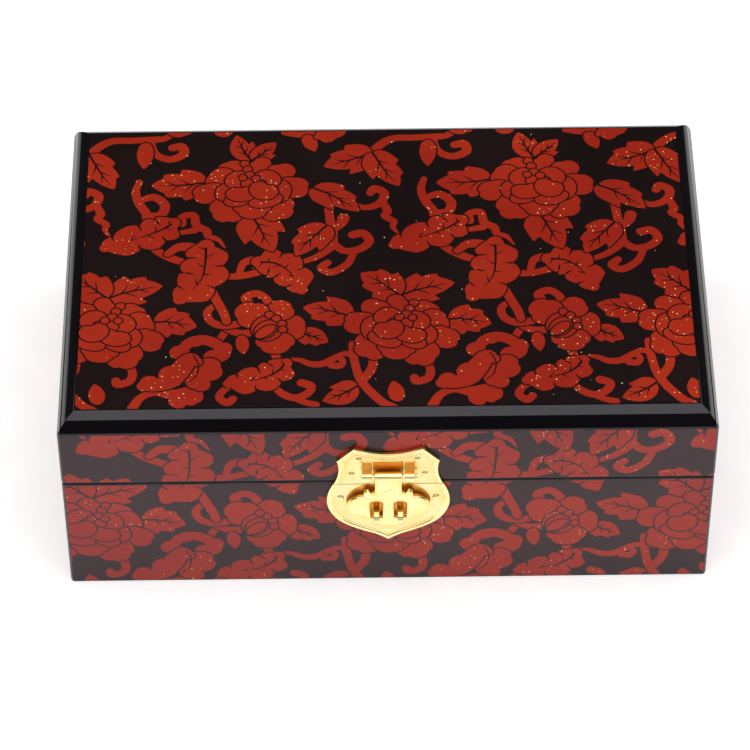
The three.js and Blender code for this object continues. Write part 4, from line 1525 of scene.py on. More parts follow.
@dataclass
class Case(Half):
    """The lower half: a mitred carcass with its floor, and the scroll on its four sides."""

    def carcass(self) -> Piece:
        """The walls and floor: a profile from the underside up, over the rim and down to the floor.

        Returns:
            The new object.
        """
        h = self.hull
        profile = np.vstack([
            h.edge_arc(0, 0, -np.pi / 2, 1, 1), h.edge_arc(0, h.rim, 0, 1, -1),
            h.edge_arc(h.wall, h.rim, np.pi / 2, -1, -1), [(h.wall, h.floor)],
        ])
        piece = ring_solid("case_carcass", h.base_x, h.base_y, h.corner, profile)
        carve(piece, h.cutters(lid=False))
        shade(piece)
        return piece

    def panels(self) -> list[Panel]:
        """The four fields of the scroll. The ones at the sides lose the corner that the bevel takes.

        Returns:
            The panels.
        """
        h, m = self.hull, self.margin
        # The extra 0.45 mm below the rounded edge leaves a band of black rim lacquer along the seam: painted shade of
        # the seam's gap.
        low, high = h.edge + 0.15, h.rim - h.edge - 0.45
        foot = h.rim - (h.base_y - m - h.axis_y) * math.tan(h.bevel) - 0.6
        front = rectangle(-h.base_x + m, h.base_x - m, low, high)
        back_high = h.rim - (h.base_y - h.axis_y) * math.tan(h.bevel) - 0.3
        back = rectangle(-h.base_x + m, h.base_x - m, low, back_high)
        near, far = -h.base_y + m, h.base_y - m
        right = np.array([(near, low), (far, low), (far, foot), (h.axis_y - 0.5, high), (near, high)])
        left = right[::-1] * [-1, 1]
        return self.side_panels(Body.CASE, h.base_x, h.base_y, (front, right, back, left))

    def build(self, scroll: PeonyScroll) -> None:
        """Makes the carcass and its fields."""
        boards = [f"base_{side}_board" for side in ("front", "right", "back", "left", "floor")]
        self.cover(self.carcass(), Body.CASE, boards, self.panels(), scroll)


@dataclass
class Lid(Half):
    """The upper half: walls, a top with a rounded edge all round, and the scroll on five sides."""

    top_left: float = -103.5
    top_foot: float = -33.5
    arc_steps: int = 18

    def carcass(self) -> Piece:
        """The walls and top: a profile from the ceiling down, under the rim and up over the rounded edge.

        The edge is an arc that stands out edge_crown over its chord: with half the chord c, its radius is
        r = (c^2 + edge_crown^2) / (2 edge_crown), and it spans the angle asin(c / r) to both sides of its middle.

        Returns:
            The new object.
        """
        h = self.hull
        chord = math.hypot(h.edge_inset, h.edge_drop) / 2
        radius = (chord**2 + h.edge_crown**2) / (2 * h.edge_crown)
        middle, half = math.atan2(h.edge_inset, h.edge_drop), math.asin(chord / radius)
        angle = np.linspace(middle - half, middle + half, self.arc_steps)
        round_over = np.stack([
            radius * (math.cos(middle - half) - np.cos(angle)),
            h.top - h.edge_drop + radius * (np.sin(angle) - math.sin(middle - half)),
        ], 1)
        profile = np.vstack([
            [(h.wall, h.ceiling)], h.edge_arc(h.wall, h.lid_bottom, 0, -1, 1),
            h.edge_arc(0, h.lid_bottom, -np.pi / 2, 1, 1), round_over,
        ])
        piece = ring_solid("lid_carcass", h.lid_x, h.lid_y, h.corner, profile)
        carve(piece, h.cutters(lid=True))
        shade(piece)
        return piece

    def panels(self) -> list[Panel]:
        """The five fields of the scroll.

        Returns:
            The panels.
        """
        h, m = self.hull, self.margin
        # The extra 0.35 mm above the rounded edge leaves a band of black rim lacquer along the seam, widened as
        # painted shade of the seam's gap.
        low, high = h.lid_bottom + h.edge + 0.35, h.top - h.edge_drop
        foot = h.lid_bottom + (h.lid_y - m - h.axis_y) * math.tan(h.bevel) + 0.6
        front = rectangle(-h.lid_x + m, h.lid_x - m, low, high)
        back_low = h.lid_bottom + (h.lid_y - h.axis_y) * math.tan(h.bevel) + 0.3
        back = rectangle(-h.lid_x + m, h.lid_x - m, back_low, high)
        near, far = -h.lid_y + m, h.lid_y - m
        right = np.array([(near, low), (h.axis_y - 0.5, low), (far, foot), (far, high), (near, high)])
        left = right[::-1] * [-1, 1]
        x, y = h.lid_x - h.edge_inset, h.lid_y - h.edge_inset
        start = self.top_left, self.top_foot
        top = Panel("lid_top_scroll", rectangle(-x, x, -y, y), (0, 0, h.top), (1, 0, 0), (0, 1, 0), start, Body.LID)
        return [*self.side_panels(Body.LID, h.lid_x, h.lid_y, (front, right, back, left)), top]

    def build(self, scroll: PeonyScroll) -> None:
        """Makes the carcass and its fields."""
        boards = [f"lid_{side}_board" for side in ("front", "right", "back", "left", "top")]
        self.cover(self.carcass(), Body.LID, boards, self.panels(), scroll)


# ---- The hasp ----


def onto_front(points: Points) -> Points:
    """From the hasp's frame (x across, y up from the seam, z out of the front) into the box's."""
    x, y, z = points.T
    return np.stack([x, HASP_BACK - z, SEAM + y], 1)


def mirrored(right: Points) -> Loop:
    """Closes a right half, whose ends are on the centre line, with its mirror image."""
    return np.vstack([right, (right[1:-1] * [-1, 1])[::-1]])


def relief(
    name: str, loops: Sequence[tuple[Loop, float]], border: Loop, holes: Sequence[Loop], back: float,
    place: Placing, kind: Callable[[Points], np.ndarray] | None = None,
) -> Piece:
    """A plate whose face passes through level loops, with a wall round it and a flat back.

    Args:
        name: The piece's name.
        loops: Each loop on the face and its height.
        border: The plate's outline.
        holes: The outlines of holes through it.
        back: Height of its back.
        place: Puts plate points in the box.
        kind: Gives the material number of each triangle from its middle.

    Returns:
        The new object.
    """
    flat, triangles, owners = triangulated([loop for loop, _ in loops])
    level = [height for _, height in loops]
    heights = np.array([level[owner] if owner >= 0 else np.median(level) for owner in owners])
    centres = flat[triangles].mean(1)
    kept = inside(centres, border)
    for hole in holes:
        kept &= ~inside(centres, hole)
    triangles, centres = triangles[kept], centres[kept]
    kinds = kind(centres) if kind else None
    face = np.column_stack([flat, heights])
    levels = place(np.array([(0.0, 0.0, 0.0), (0.0, 0.0, 1.0)]))
    outward = levels[1] - levels[0]
    base = float(place(np.array([(0.0, 0.0, back)]))[0] @ outward)
    flatten = lambda p: p - np.outer(p @ outward - base, outward)
    return slab(name, place(face), triangles, flatten, kinds, bool(holes))


def split_at(piece: Piece, height: float, above: bool) -> None:
    """Keeps the part of a piece above or below a height, and closes the cut.

    Args:
        piece: The piece.
        height: The height in millimetres.
        above: Whether the upper part stays.
    """

    def cut(work: bmesh.types.BMesh) -> None:
        """Cuts, closes and turns the faces outwards.

        Args:
            work: The mesh.
        """
        bmesh.ops.bisect_plane(
            work, geom=[*work.verts, *work.edges, *work.faces], dist=1e-8,
            plane_co=(0, 0, height * MM), plane_no=(0, 0, -1 if above else 1), clear_outer=True,
        )
        bmesh.ops.holes_fill(work, edges=border_of(work), sides=0)
        bmesh.ops.recalc_face_normals(work, faces=work.faces)

    edit_mesh(piece, cut)


def joined(name: str, pieces: Sequence[Piece]) -> Piece:
    """Pieces gathered into one object.

    Args:
        name: Its name.
        pieces: The pieces, which are deleted.

    Returns:
        The new object.
    """
    work = bmesh.new()
    for piece in pieces:
        work.from_mesh(piece.data)
    mesh = bpy.data.meshes.new(name)
    for material in pieces[0].data.materials:
        mesh.materials.append(material)
    work.to_mesh(mesh)
    work.free()
    for piece in pieces:
        bpy.data.objects.remove(piece)
    whole = bpy.data.objects.new(name, mesh)
    bpy.context.scene.collection.objects.link(whole)
    return whole


@dataclass
class Hasp:
    """The shield hasp: two plates, a flap on a pin, two staples and six nails. Its frame is onto_front's."""

    finishes: Finishes
    seam: float = SEAM
    plate: float = 1.2
    split: float = 0.15
    axis_y: float = 6.8
    axis_z: float = 3.6
    knuckle: float = 2.0
    lug_inner: float = 6.2
    lug_outer: float = 10.1
    lug_top: float = 14.3
    boss: tuple[float, float] = (0, -1.2)
    pad_y: float = -22.8
    flap_back: float = 2.0
    flap_face: float = 3.6
    staple_x: float = 4.6
    staple_y: float = -14.3
    staple_half: float = 3.0
    staple_reach: float = 8.8
    staple_width: float = 2.3
    eye: float = 1.4
    nail_radius: float = 1.45
    nail_edge: float = 0.15
    nail_crown: float = 0.7
    upper_nails: tuple[tuple[float, float], ...] = ((-11.2, 13.9), (11.2, 13.9), (-14, 5.5), (14, 5.5))
    lower_nails: tuple[tuple[float, float], ...] = ((-18.4, -8), (18.4, -8))

    def shield_outline(self) -> Loop:
        """The whole shield: right half from the dip at the top to the point below, then mirrored.

        Returns:
            The outline.
        """
        arcs = [
            [(0, 16.9), (7, 17), (13, 20.5)], [(13, 20.5), (16, 17.4), (19.7, 13.2)],
            [(19.7, 13.2), (18.9, 10.5), (18.4, 5.2), (21.05, 0)],
            [(21.05, 0), (24.4, -6), (24.9, -13), (20.9, -19.1)],
            [(20.9, -19.1), (18.6, -23.4), (11.5, -26.9), (5.5, -29.4)], [(5.5, -29.4), (2.6, -30.9), (0, -33.1)],
        ]
        return mirrored(np.vstack([*(bezier(arc, 20) for arc in arcs), [(0, -33.1)]]))[::-1]

    def flap_outline(self) -> Loop:
        """The flap: right half from the barrel to the end of the tongue, then mirrored.

        Returns:
            The outline.
        """
        arcs = [
            [(0, 6.8), (5.2, 6.8)], [(5.2, 6.8), (5.2, -3.1)], [(5.2, -3.1), (6.9, -3.5), (7.1, -2.1)],
            [(7.1, -2.1), (8.3, -1.2), (9.9, -3), (9.6, -5.2)],
            [(9.6, -5.2), (13.2, -4.9), (16.4, -8.6), (16, -12.4)],
            [(16, -12.4), (15.6, -15.8), (12, -16.2), (9.7, -16.6)], [(9.7, -16.6), (8.6, -19.4), (6, -20.2)],
            [(6, -20.2), (4.1, -20.6), (3.7, -22.6)], [(3.7, -22.6), (3.8, -26), (2.2, -26.8), (0, -26.8)],
        ]
        return mirrored(np.vstack([*(bezier(arc, 14) for arc in arcs), [(0, -26.8)]]))[::-1]

    def slot_outline(self, x: float) -> Loop:
        """A slot in the flap for one staple, with rounded upper corners.

        Args:
            x: Its middle.

        Returns:
            The outline.
        """
        turn = np.linspace(0, np.pi / 2, 7)
        corner, half, top = 1.2, 2.35, -8.05
        right = np.stack([x + half - corner + corner * np.cos(turn), top - corner + corner * np.sin(turn)], 1)
        left = np.stack([x - half + corner - corner * np.sin(turn), top - corner + corner * np.cos(turn)], 1)
        return np.vstack([[(x - half, -17.75), (x + half, -17.75)], right, left])

    def sunk_field(self, above: bool) -> Loop:
        """The sunk field: a rectangle between the lugs above the seam, a broad oval under the flap below it.

        Args:
            above: Whether it is the upper one.

        Returns:
            Its outline.
        """
        if above:
            return rectangle(-5.7, 5.7, 3.0, 12.9)
        turn = np.linspace(0, 2 * np.pi, 80, endpoint=False)
        return np.stack([16.2 * np.cos(turn), -9.5 + 11.4 * np.sin(turn) * np.where(turn < np.pi, 1, 0.86)], 1)

    def put_on(self, piece: Piece) -> None:
        """Gives a tooled piece its three metals: polished, punched, and an orange punched gilt that is painted shade.
        """
        for material in (self.finishes.gilt, self.finishes.tooled, self.finishes.deep):
            piece.data.materials.append(material)

    def round_bar(self, turn: np.ndarray) -> Loop:
        """Points (z, y) round the hinge's axis at some angles."""
        return np.stack([self.axis_z + self.knuckle * np.cos(turn), self.axis_y + self.knuckle * np.sin(turn)], 1)

    def shield(self, name: str, above: bool) -> Piece:
        """One half of the shield: a rolled rim, an engraved line, a punched ground and a sunk field, whose gilt is
        darkened to orange as painted shade.

        Each (inset, height) of the section lifts a mitred copy of the outline, and the face runs between them.

        Args:
            name: The piece's name.
            above: Whether it is the upper half.

        Returns:
            The new object.
        """
        outline, field_edge, rim_width = self.shield_outline(), self.sunk_field(above), 1.75
        section = (
            (0.0, 1.15), (0.12, 1.36), (0.4, 1.52), (0.8, 1.57), (1.2, 1.53), (1.5, 1.4), (1.72, 1.2),
            (2.5, 1.2), (2.62, 1.09), (2.82, 1.09), (2.94, 1.2), (3.4, 1.2),
        )
        loops = [(mitred_inset(outline, inset), height) for inset, height in section]
        loops += [(field_edge, self.plate), (mitred_inset(field_edge, 0.3), 0.85)]
        piece = relief(
            name, loops, outline, [], 0.0, onto_front,
            # Material 2 in the sunk field is the orange punched gilt: painted shade and painted reflection of the
            # gilt round it.
            lambda middle: (distance_to_loop(middle, outline) > rim_width).astype(int) + inside(middle, field_edge),
        )
        self.put_on(piece)
        split_at(piece, self.seam + (self.split if above else -self.split), above)
        return piece

    def lug(self, sign: int) -> Piece:
        """A tooled strap that slopes out of the plate and rolls round the pin. Its slope is coloured with the orange
        punched gilt as painted shade.

        Args:
            sign: Its side, 1 or -1.

        Returns:
            The new object.
        """
        meet = math.radians(105)
        roll = self.round_bar(np.linspace(meet, -np.pi / 2, 20))
        slope = bezier([(self.plate / 2, self.lug_top), (1.5, 11.2), roll[0]], 12)
        section = np.vstack([slope, roll, [(self.plate / 2, self.axis_y - self.knuckle)]])
        ends = sorted((sign * self.lug_inner, sign * self.lug_outer))
        piece = prism("lug", section, *ends, lambda p: onto_front(p[:, [2, 1, 0]]))
        soften(piece, 0.22, 3)
        self.put_on(piece)
        middles = np.empty(3 * len(piece.data.polygons))
        piece.data.polygons.foreach_get("center", middles)
        # The slope takes material 2, the orange punched gilt: painted shade.
        on_strap = middles[2::3] > (self.seam + roll[0, 1]) * MM
        piece.data.polygons.foreach_set("material_index", 2 * on_strap.astype(np.int32))
        return piece

    def upper_plate(self) -> None:
        """The upper half of the shield with both lugs."""
        plate = self.shield("hasp_upper_half", above=True)
        piece = joined("hasp_upper_shield", [plate, self.lug(-1), self.lug(1)])
        shade(piece)
        settle(piece, Body.LID, Slot.GILT, [], "hasp_upper_plate")

    def lower_plate(self) -> None:
        """The lower half of the shield."""
        piece = self.shield("hasp_lower_shield", above=False)
        shade(piece)
        settle(piece, Body.CASE, Slot.GILT, [], "hasp_lower_plate")

    def flap_relief(self) -> list[tuple[Loop, float]]:
        """The loops inside the flap's edge: the boss, the dots on it and on the tongue, and a hollow in each wing.

        Returns:
            Each loop and its height.
        """
        turn = np.linspace(0, 2 * np.pi, 40, endpoint=False)
        circle = np.stack([np.cos(turn), np.sin(turn)], 1)
        boss_x, boss_y = self.boss
        rings = ((3.3, self.flap_face), (3.05, 3.7), (2.4, 3.78), (1.4, 3.84))
        loops = [(circle * radius + self.boss, height) for radius, height in rings]
        dots = [(boss_x, boss_y, 0.5), (boss_x - 0.9, boss_y - 0.5, 0.3), (boss_x + 0.9, boss_y, 0.3)]
        for row in (-1, 0, 1):
            reach = 2.5 - 0.5 * abs(row)
            dots += [(x, self.pad_y + 0.95 * row, 0.32) for x in np.arange(-reach, reach + 0.1)]
        for x, y, size in dots:
            for radius, height in ((size, 3.62), (size * 0.7, 3.86), (size * 0.3, 3.94)):
                loops.append((circle[::4] * radius + (x, y), height))
        for sign in (-1, 1):
            for share, height in ((1.0, self.flap_face), (0.86, 3.46), (0.66, 3.36), (0.3, 3.32)):
                loops.append((circle * (3.1 * share, 2.6 * share) + (sign * 11.6, -11.2), height))
        return loops

    def flap(self) -> None:
        """The flap: rounded edges with an engraved line, relief inside it, and the barrel at its top."""
        outline, face = self.flap_outline(), self.flap_face
        slots = [self.slot_outline(-self.staple_x), self.slot_outline(self.staple_x)]
        edge = ((0.0, 3.2), (0.1, 3.42), (0.28, 3.56), (0.5, face))
        line = ((0.72, face), (0.80, 3.4), (0.98, 3.4), (1.06, face))
        loops = [(mitred_inset(outline, inset), height) for inset, height in edge + line]
        loops += [(mitred_inset(slot, -inset), height) for slot in slots for inset, height in edge]
        plate = relief("flap_plate", loops + self.flap_relief(), outline, slots, self.flap_back, onto_front)
        plate.data.materials.append(self.finishes.gilt)
        section = self.round_bar(np.linspace(0, 2 * np.pi, 48, endpoint=False))
        barrel = prism("barrel", section, -5.2, 5.2, lambda p: onto_front(p[:, [2, 1, 0]]))
        soften(barrel, 0.2, 2)
        piece = joined("hasp_swing_flap", [plate, barrel])
        shade(piece)
        settle(piece, Body.FLAP, Slot.GILT, [], "hasp_flap")

    def staple(self, side: str, x: float) -> None:
        """A staple seen from the side: a flat strap with a round nose and an eye for a padlock.

        Args:
            side: Its side in words.
            x: Its middle.
        """
        half, tail, eye, wide = self.staple_half, 1.0, self.eye, self.staple_width / 2
        nose = self.staple_reach - half
        turn = np.linspace(-np.pi / 2, np.pi / 2, 20)
        section = np.vstack([
            [(-tail, -half)], np.stack([nose + half * np.cos(turn), half * np.sin(turn)], 1), [(-tail, half)],
        ])
        eye_back = self.axis_z + 0.5 + eye
        front = np.stack([nose + eye * np.cos(turn), eye * np.sin(turn)], 1)
        behind = np.stack([eye_back - eye * np.cos(turn), -eye * np.sin(turn)], 1)
        place = lambda p: onto_front(np.stack([p[:, 2] + x, p[:, 1] + self.staple_y, p[:, 0]], 1))
        piece = prism(f"staple_{side}", section, -wide, wide, place)
        carve(piece, [prism("eye", np.vstack([front, behind]), -2, 2, place)])
        soften(piece, 0.42, 3)
        shade(piece, 50)
        settle(piece, Body.CASE, Slot.GILT, [self.finishes.gilt], f"hasp_staple_{side}")

    def nail(self, name: str, x: float, y: float, body: Body) -> None:
        """A nail with a domed head: z = crown (1 - (r / R)^2) above a short straight edge.

        Args:
            name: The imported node.
            x: Its middle.
            y: Its middle.
            body: Its body.
        """
        radius = np.linspace(self.nail_radius, 0, 12)
        dome = np.stack([radius, self.nail_edge + self.nail_crown * (1 - (radius / self.nail_radius) ** 2)], 1)
        profile = np.vstack([[(0, -1.0), (0.6, -1.0), (0.6, 0.0), (1.4, 0.0)], dome])
        place = lambda p: onto_front(p + (x, y, self.plate + 0.02))
        piece = turned(f"{name}_head", profile, place)
        shade(piece, 50)
        settle(piece, body, Slot.GILT, [self.finishes.gilt], name)

    def pin(self) -> None:
        """The hinge pin, with a flat head at its right end."""
        profile = np.array([
            (0, -10.6), (0.7, -10.6), (0.85, -10.4), (0.85, 10.35), (1.3, 10.35), (1.45, 10.5), (1.45, 11.05),
            (1.25, 11.2), (0, 11.24),
        ])
        place = lambda p: onto_front(p[:, [2, 1, 0]] + (0, self.axis_y, self.axis_z))
        piece = turned("hasp_hinge_pin", profile, place)
        shade(piece, 50)
        settle(piece, Body.LID, Slot.GILT, [self.finishes.gilt], "hasp_pin")

    def build(self) -> None:
        """Makes every piece of the hasp."""
        self.upper_plate()
        self.lower_plate()
        self.flap()
        self.pin()
        for side, x in (("left", -self.staple_x), ("right", self.staple_x)):
            self.staple(side, x)
        for k, (x, y) in enumerate(self.upper_nails, 1):
            self.nail(f"upper_plate_nail_{k}", x, y, Body.LID)
        for k, (x, y) in enumerate(self.lower_nails, 1):
            self.nail(f"lower_plate_nail_{k}", x, y, Body.CASE)


# ---- The back hinges ----


@dataclass
class Hinges:
    """Two butt hinges at the back, each with two leaves, a pin and four screws."""

    hull: Hull
    finishes: Finishes
    leaf: float = 1.4
    front: float = 71.9
    back: float = 76.1
    knuckles: int = 5
    gap: float = 0.25
    screw_y: float = 74.0
    screw_x: float = 11.0
    screw_radius: float = 1.5
    slot_half: float = 0.22

    def leaf_piece(self, x: float, lid: bool) -> Piece:
        """A leaf with its knuckles: every other one of five, from the left.

        Args:
            x: The hinge's middle.
            lid: Whether it is the lid's leaf.

        Returns:
            The new object.
        """
        h = self.hull
        face = h.lid_bottom if lid else h.rim
        low, high = sorted((face, face + (self.leaf if lid else -self.leaf)))
        left, pitch = x - h.hinge_half, 2 * h.hinge_half / self.knuckles
        outline = rectangle(left, left + 2 * h.hinge_half, self.front, self.back)
        plate = prism("leaf", outline, low, high)
        soften(plate, 0.15, 2)
        turn = np.linspace(0, 2 * np.pi, 40, endpoint=False)
        barrel = np.stack([h.axis_y + h.barrel * np.cos(turn), h.seam + h.barrel * np.sin(turn)], 1)
        parts = [plate]
        for k in range(1 if lid else 0, self.knuckles, 2):
            ends = left + k * pitch + self.gap / 2, left + (k + 1) * pitch - self.gap / 2
            bar = prism("knuckle", barrel, *ends, along_x)
            soften(bar, 0.18, 2)
            parts += [bar, prism("strap", rectangle(*ends, self.screw_y, h.axis_y), low, high)]
        piece = joined(f"hinge_leaf_{'lid' if lid else 'base'}_{'left' if x < 0 else 'right'}", parts)
        shade(piece)
        return piece

    def screw(self, name: str, x: float, lid: bool) -> Piece:
        """A countersunk screw's head, slightly domed, with a slot across it.

        Args:
            name: The piece's name.
            x: Its middle.
            lid: Whether it is in the lid.

        Returns:
            The new object.
        """
        h = self.hull
        face, sign = (h.lid_bottom, -1) if lid else (h.rim, 1)
        radius = np.linspace(self.screw_radius, 0, 7)
        dome = np.stack([radius, 0.03 + 0.14 * (1 - (radius / self.screw_radius) ** 2)], 1)
        profile = np.vstack([[(0, -1.2), (0.8, -1.2), (self.screw_radius, -0.3)], dome])
        piece = turned(name, profile, lambda p: p * (1, 1, sign) + (x, self.screw_y, face))
        slot = rectangle(x - 3, x + 3, self.screw_y - self.slot_half, self.screw_y + self.slot_half)
        carve(piece, [prism("slot", slot, *sorted((face - sign * 0.35, face + sign * 1)))])
        shade(piece, 50)
        return piece

    def build(self) -> None:
        """Makes both hinges."""
        h, metal = self.hull, [self.finishes.gilt]
        for side, x in (("left", -h.hinge_x), ("right", h.hinge_x)):
            for lid, half, body in ((False, "base", Body.CASE), (True, "lid", Body.LID)):
                settle(self.leaf_piece(x, lid), body, Slot.GILT, metal, f"hinge_{side}_{half}_leaf")
                for k, offset in enumerate((-self.screw_x, self.screw_x), 1):
                    name = f"hinge_{side}_{half}_screw_{k}"
                    settle(self.screw(f"{name}_head", x + offset, lid), body, Slot.GILT, metal, name)
            reach = h.hinge_half - self.gap
            half_rod = np.array([(1, reach - 0.2), (0.8, reach), (0, reach)])
            profile = np.vstack([half_rod[::-1] * [1, -1], half_rod])
            pin = turned(f"hinge_{side}_rod", profile, lambda p: along_x(p) + (x, h.axis_y, h.seam))
            shade(pin, 50)
            settle(pin, Body.CASE, Slot.GILT, metal, f"hinge_{side}_pin")


# ---- Velvet, mirror and tray ----


@dataclass
class Interior:
    """Velvet linings, floor pad, ledges, and the mirror in its frame."""

    hull: Hull
    finishes: Finishes
    gap: float = 0.3
    card: float = 1.5
    case_cards: tuple[float, float] = (9.1, 56.6)
    lid_cards: tuple[float, float] = (60.1, 82.2)
    cushion: tuple[float, float] = (6.3, 8.8)
    ledge: tuple[float, float] = (9.1, 33.2)
    ledge_half: float = 60.0
    ledge_width: float = 4.0
    ceiling_card: tuple[float, float] = (82.5, 84.0)
    mirror_half: tuple[float, float] = (95.0, 51.0)
    frame_half: tuple[float, float] = (100.0, 56.0)
    frame_width: float = 8.0
    frame_height: float = 79.05

    def lining(self, half: str, side: str, low: float, high: float) -> Piece:
        """A covered card against one wall. The long ones run full length, and the others fit between them.

        Args:
            half: base or lid.
            side: The wall.
            low: Its foot.
            high: Its top.

        Returns:
            The new object.
        """
        h = self.hull
        base = half == "base"
        inner_x = (h.base_x if base else h.lid_x) - h.wall - self.gap
        inner_y = (h.base_y if base else h.lid_y) - h.wall - self.gap
        counts = [40, 40, 12]
        if side in ("front", "back"):
            sign = 1 if side == "back" else -1
            ends = sorted((sign * inner_y, sign * (inner_y - self.card)))
            corners = (-inner_x, ends[0], low), (inner_x, ends[1], high)
            axis, counts[1] = 1, 2
        else:
            sign = 1 if side == "right" else -1
            ends = sorted((sign * inner_x, sign * (inner_x - self.card)))
            reach = inner_y - self.card - self.gap
            corners = (ends[0], -reach, low), (ends[1], reach, high)
            axis, counts[0] = 0, 2
        return padded_block(f"{half}_{side}_velvet", *corners, 0.55, 0.25, axis, -sign, counts)

    def across(self, name: str, half: tuple[float, float], span: tuple[float, float], radius: float,
               crown: float = 0.0, sign: int = 1, counts: Sequence[int] = (60, 40, 3)) -> Piece:
        """A flat block of velvet over the middle of the box, from its half sizes and its lowest and highest z."""
        low, high = (-half[0], -half[1], span[0]), (half[0], half[1], span[1])
        return padded_block(name, low, high, radius, crown, 2, sign, counts)

    def build(self) -> None:
        """Makes everything inside the case and the lid apart from the tray."""
        h, velvet = self.hull, [self.finishes.velvet]
        for half, body, span in (("base", Body.CASE, self.case_cards), ("lid", Body.LID, self.lid_cards)):
            for side in ("front", "right", "back", "left"):
                settle(self.lining(half, side, *span), body, Slot.VELVET, velvet, f"{half}_{side}_lining")
        inner_x, inner_y = h.base_x - h.wall - self.gap, h.base_y - h.wall - self.gap
        pad = self.across("floor_cushion", (inner_x, inner_y), self.cushion, 0.7, crown=0.8)
        settle(pad, Body.CASE, Slot.VELVET, velvet, "base_floor_pad")
        outer = inner_x - self.card - self.gap
        for side, sign in (("left", -1), ("right", 1)):
            ends = sorted((sign * outer, sign * (outer - self.ledge_width)))
            low, high = (ends[0], -self.ledge_half, self.ledge[0]), (ends[1], self.ledge_half, self.ledge[1])
            ledge = padded_block(f"ledge_{side}_velvet", low, high, 0.7, counts=(3, 40, 8))
            settle(ledge, Body.CASE, Slot.VELVET, velvet, f"tray_ledge_{side}")
        room, counts = (h.lid_x - h.wall - self.gap, h.lid_y - h.wall - self.gap), (60, 40, 2)
        card = self.across("lid_ceiling_velvet", room, self.ceiling_card, 0.5, sign=-1, counts=counts)
        settle(card, Body.LID, Slot.VELVET, velvet, "lid_top_lining")
        self.mirror()

    def mirror(self) -> None:
        """The mirror, bevelled all round, and a rounded velvet frame that laps over its edge.

        The frame's section is an oval, inset w/2 (1 + cos t) and height h + 0.75 sin t, whose back rises to
        h + 3.1 sin t outside the glass.
        """
        bevel = np.array([(0, 82.2), (0, 80.6), (7.5, 79.95)])
        glass = ring_solid("mirror_plate", *self.mirror_half, 0.5, bevel[::-1])
        shade(glass, 10)
        settle(glass, Body.LID, Slot.MIRROR, [self.finishes.mirror], "mirror_glass")
        turn = np.linspace(0, 2 * np.pi, 28, endpoint=False)
        inset = self.frame_width / 2 * (1 + np.cos(turn))
        behind = (inset < 4.9) & (np.sin(turn) > 0)
        section = np.stack([inset, self.frame_height + np.where(behind, 3.1, 0.75) * np.sin(turn)], 1)
        moulding = ring_solid("mirror_moulding", *self.frame_half, 1.2, section, closed=True)
        shade(moulding, 60)
        settle(moulding, Body.LID, Slot.VELVET, [self.finishes.velvet], "mirror_frame")


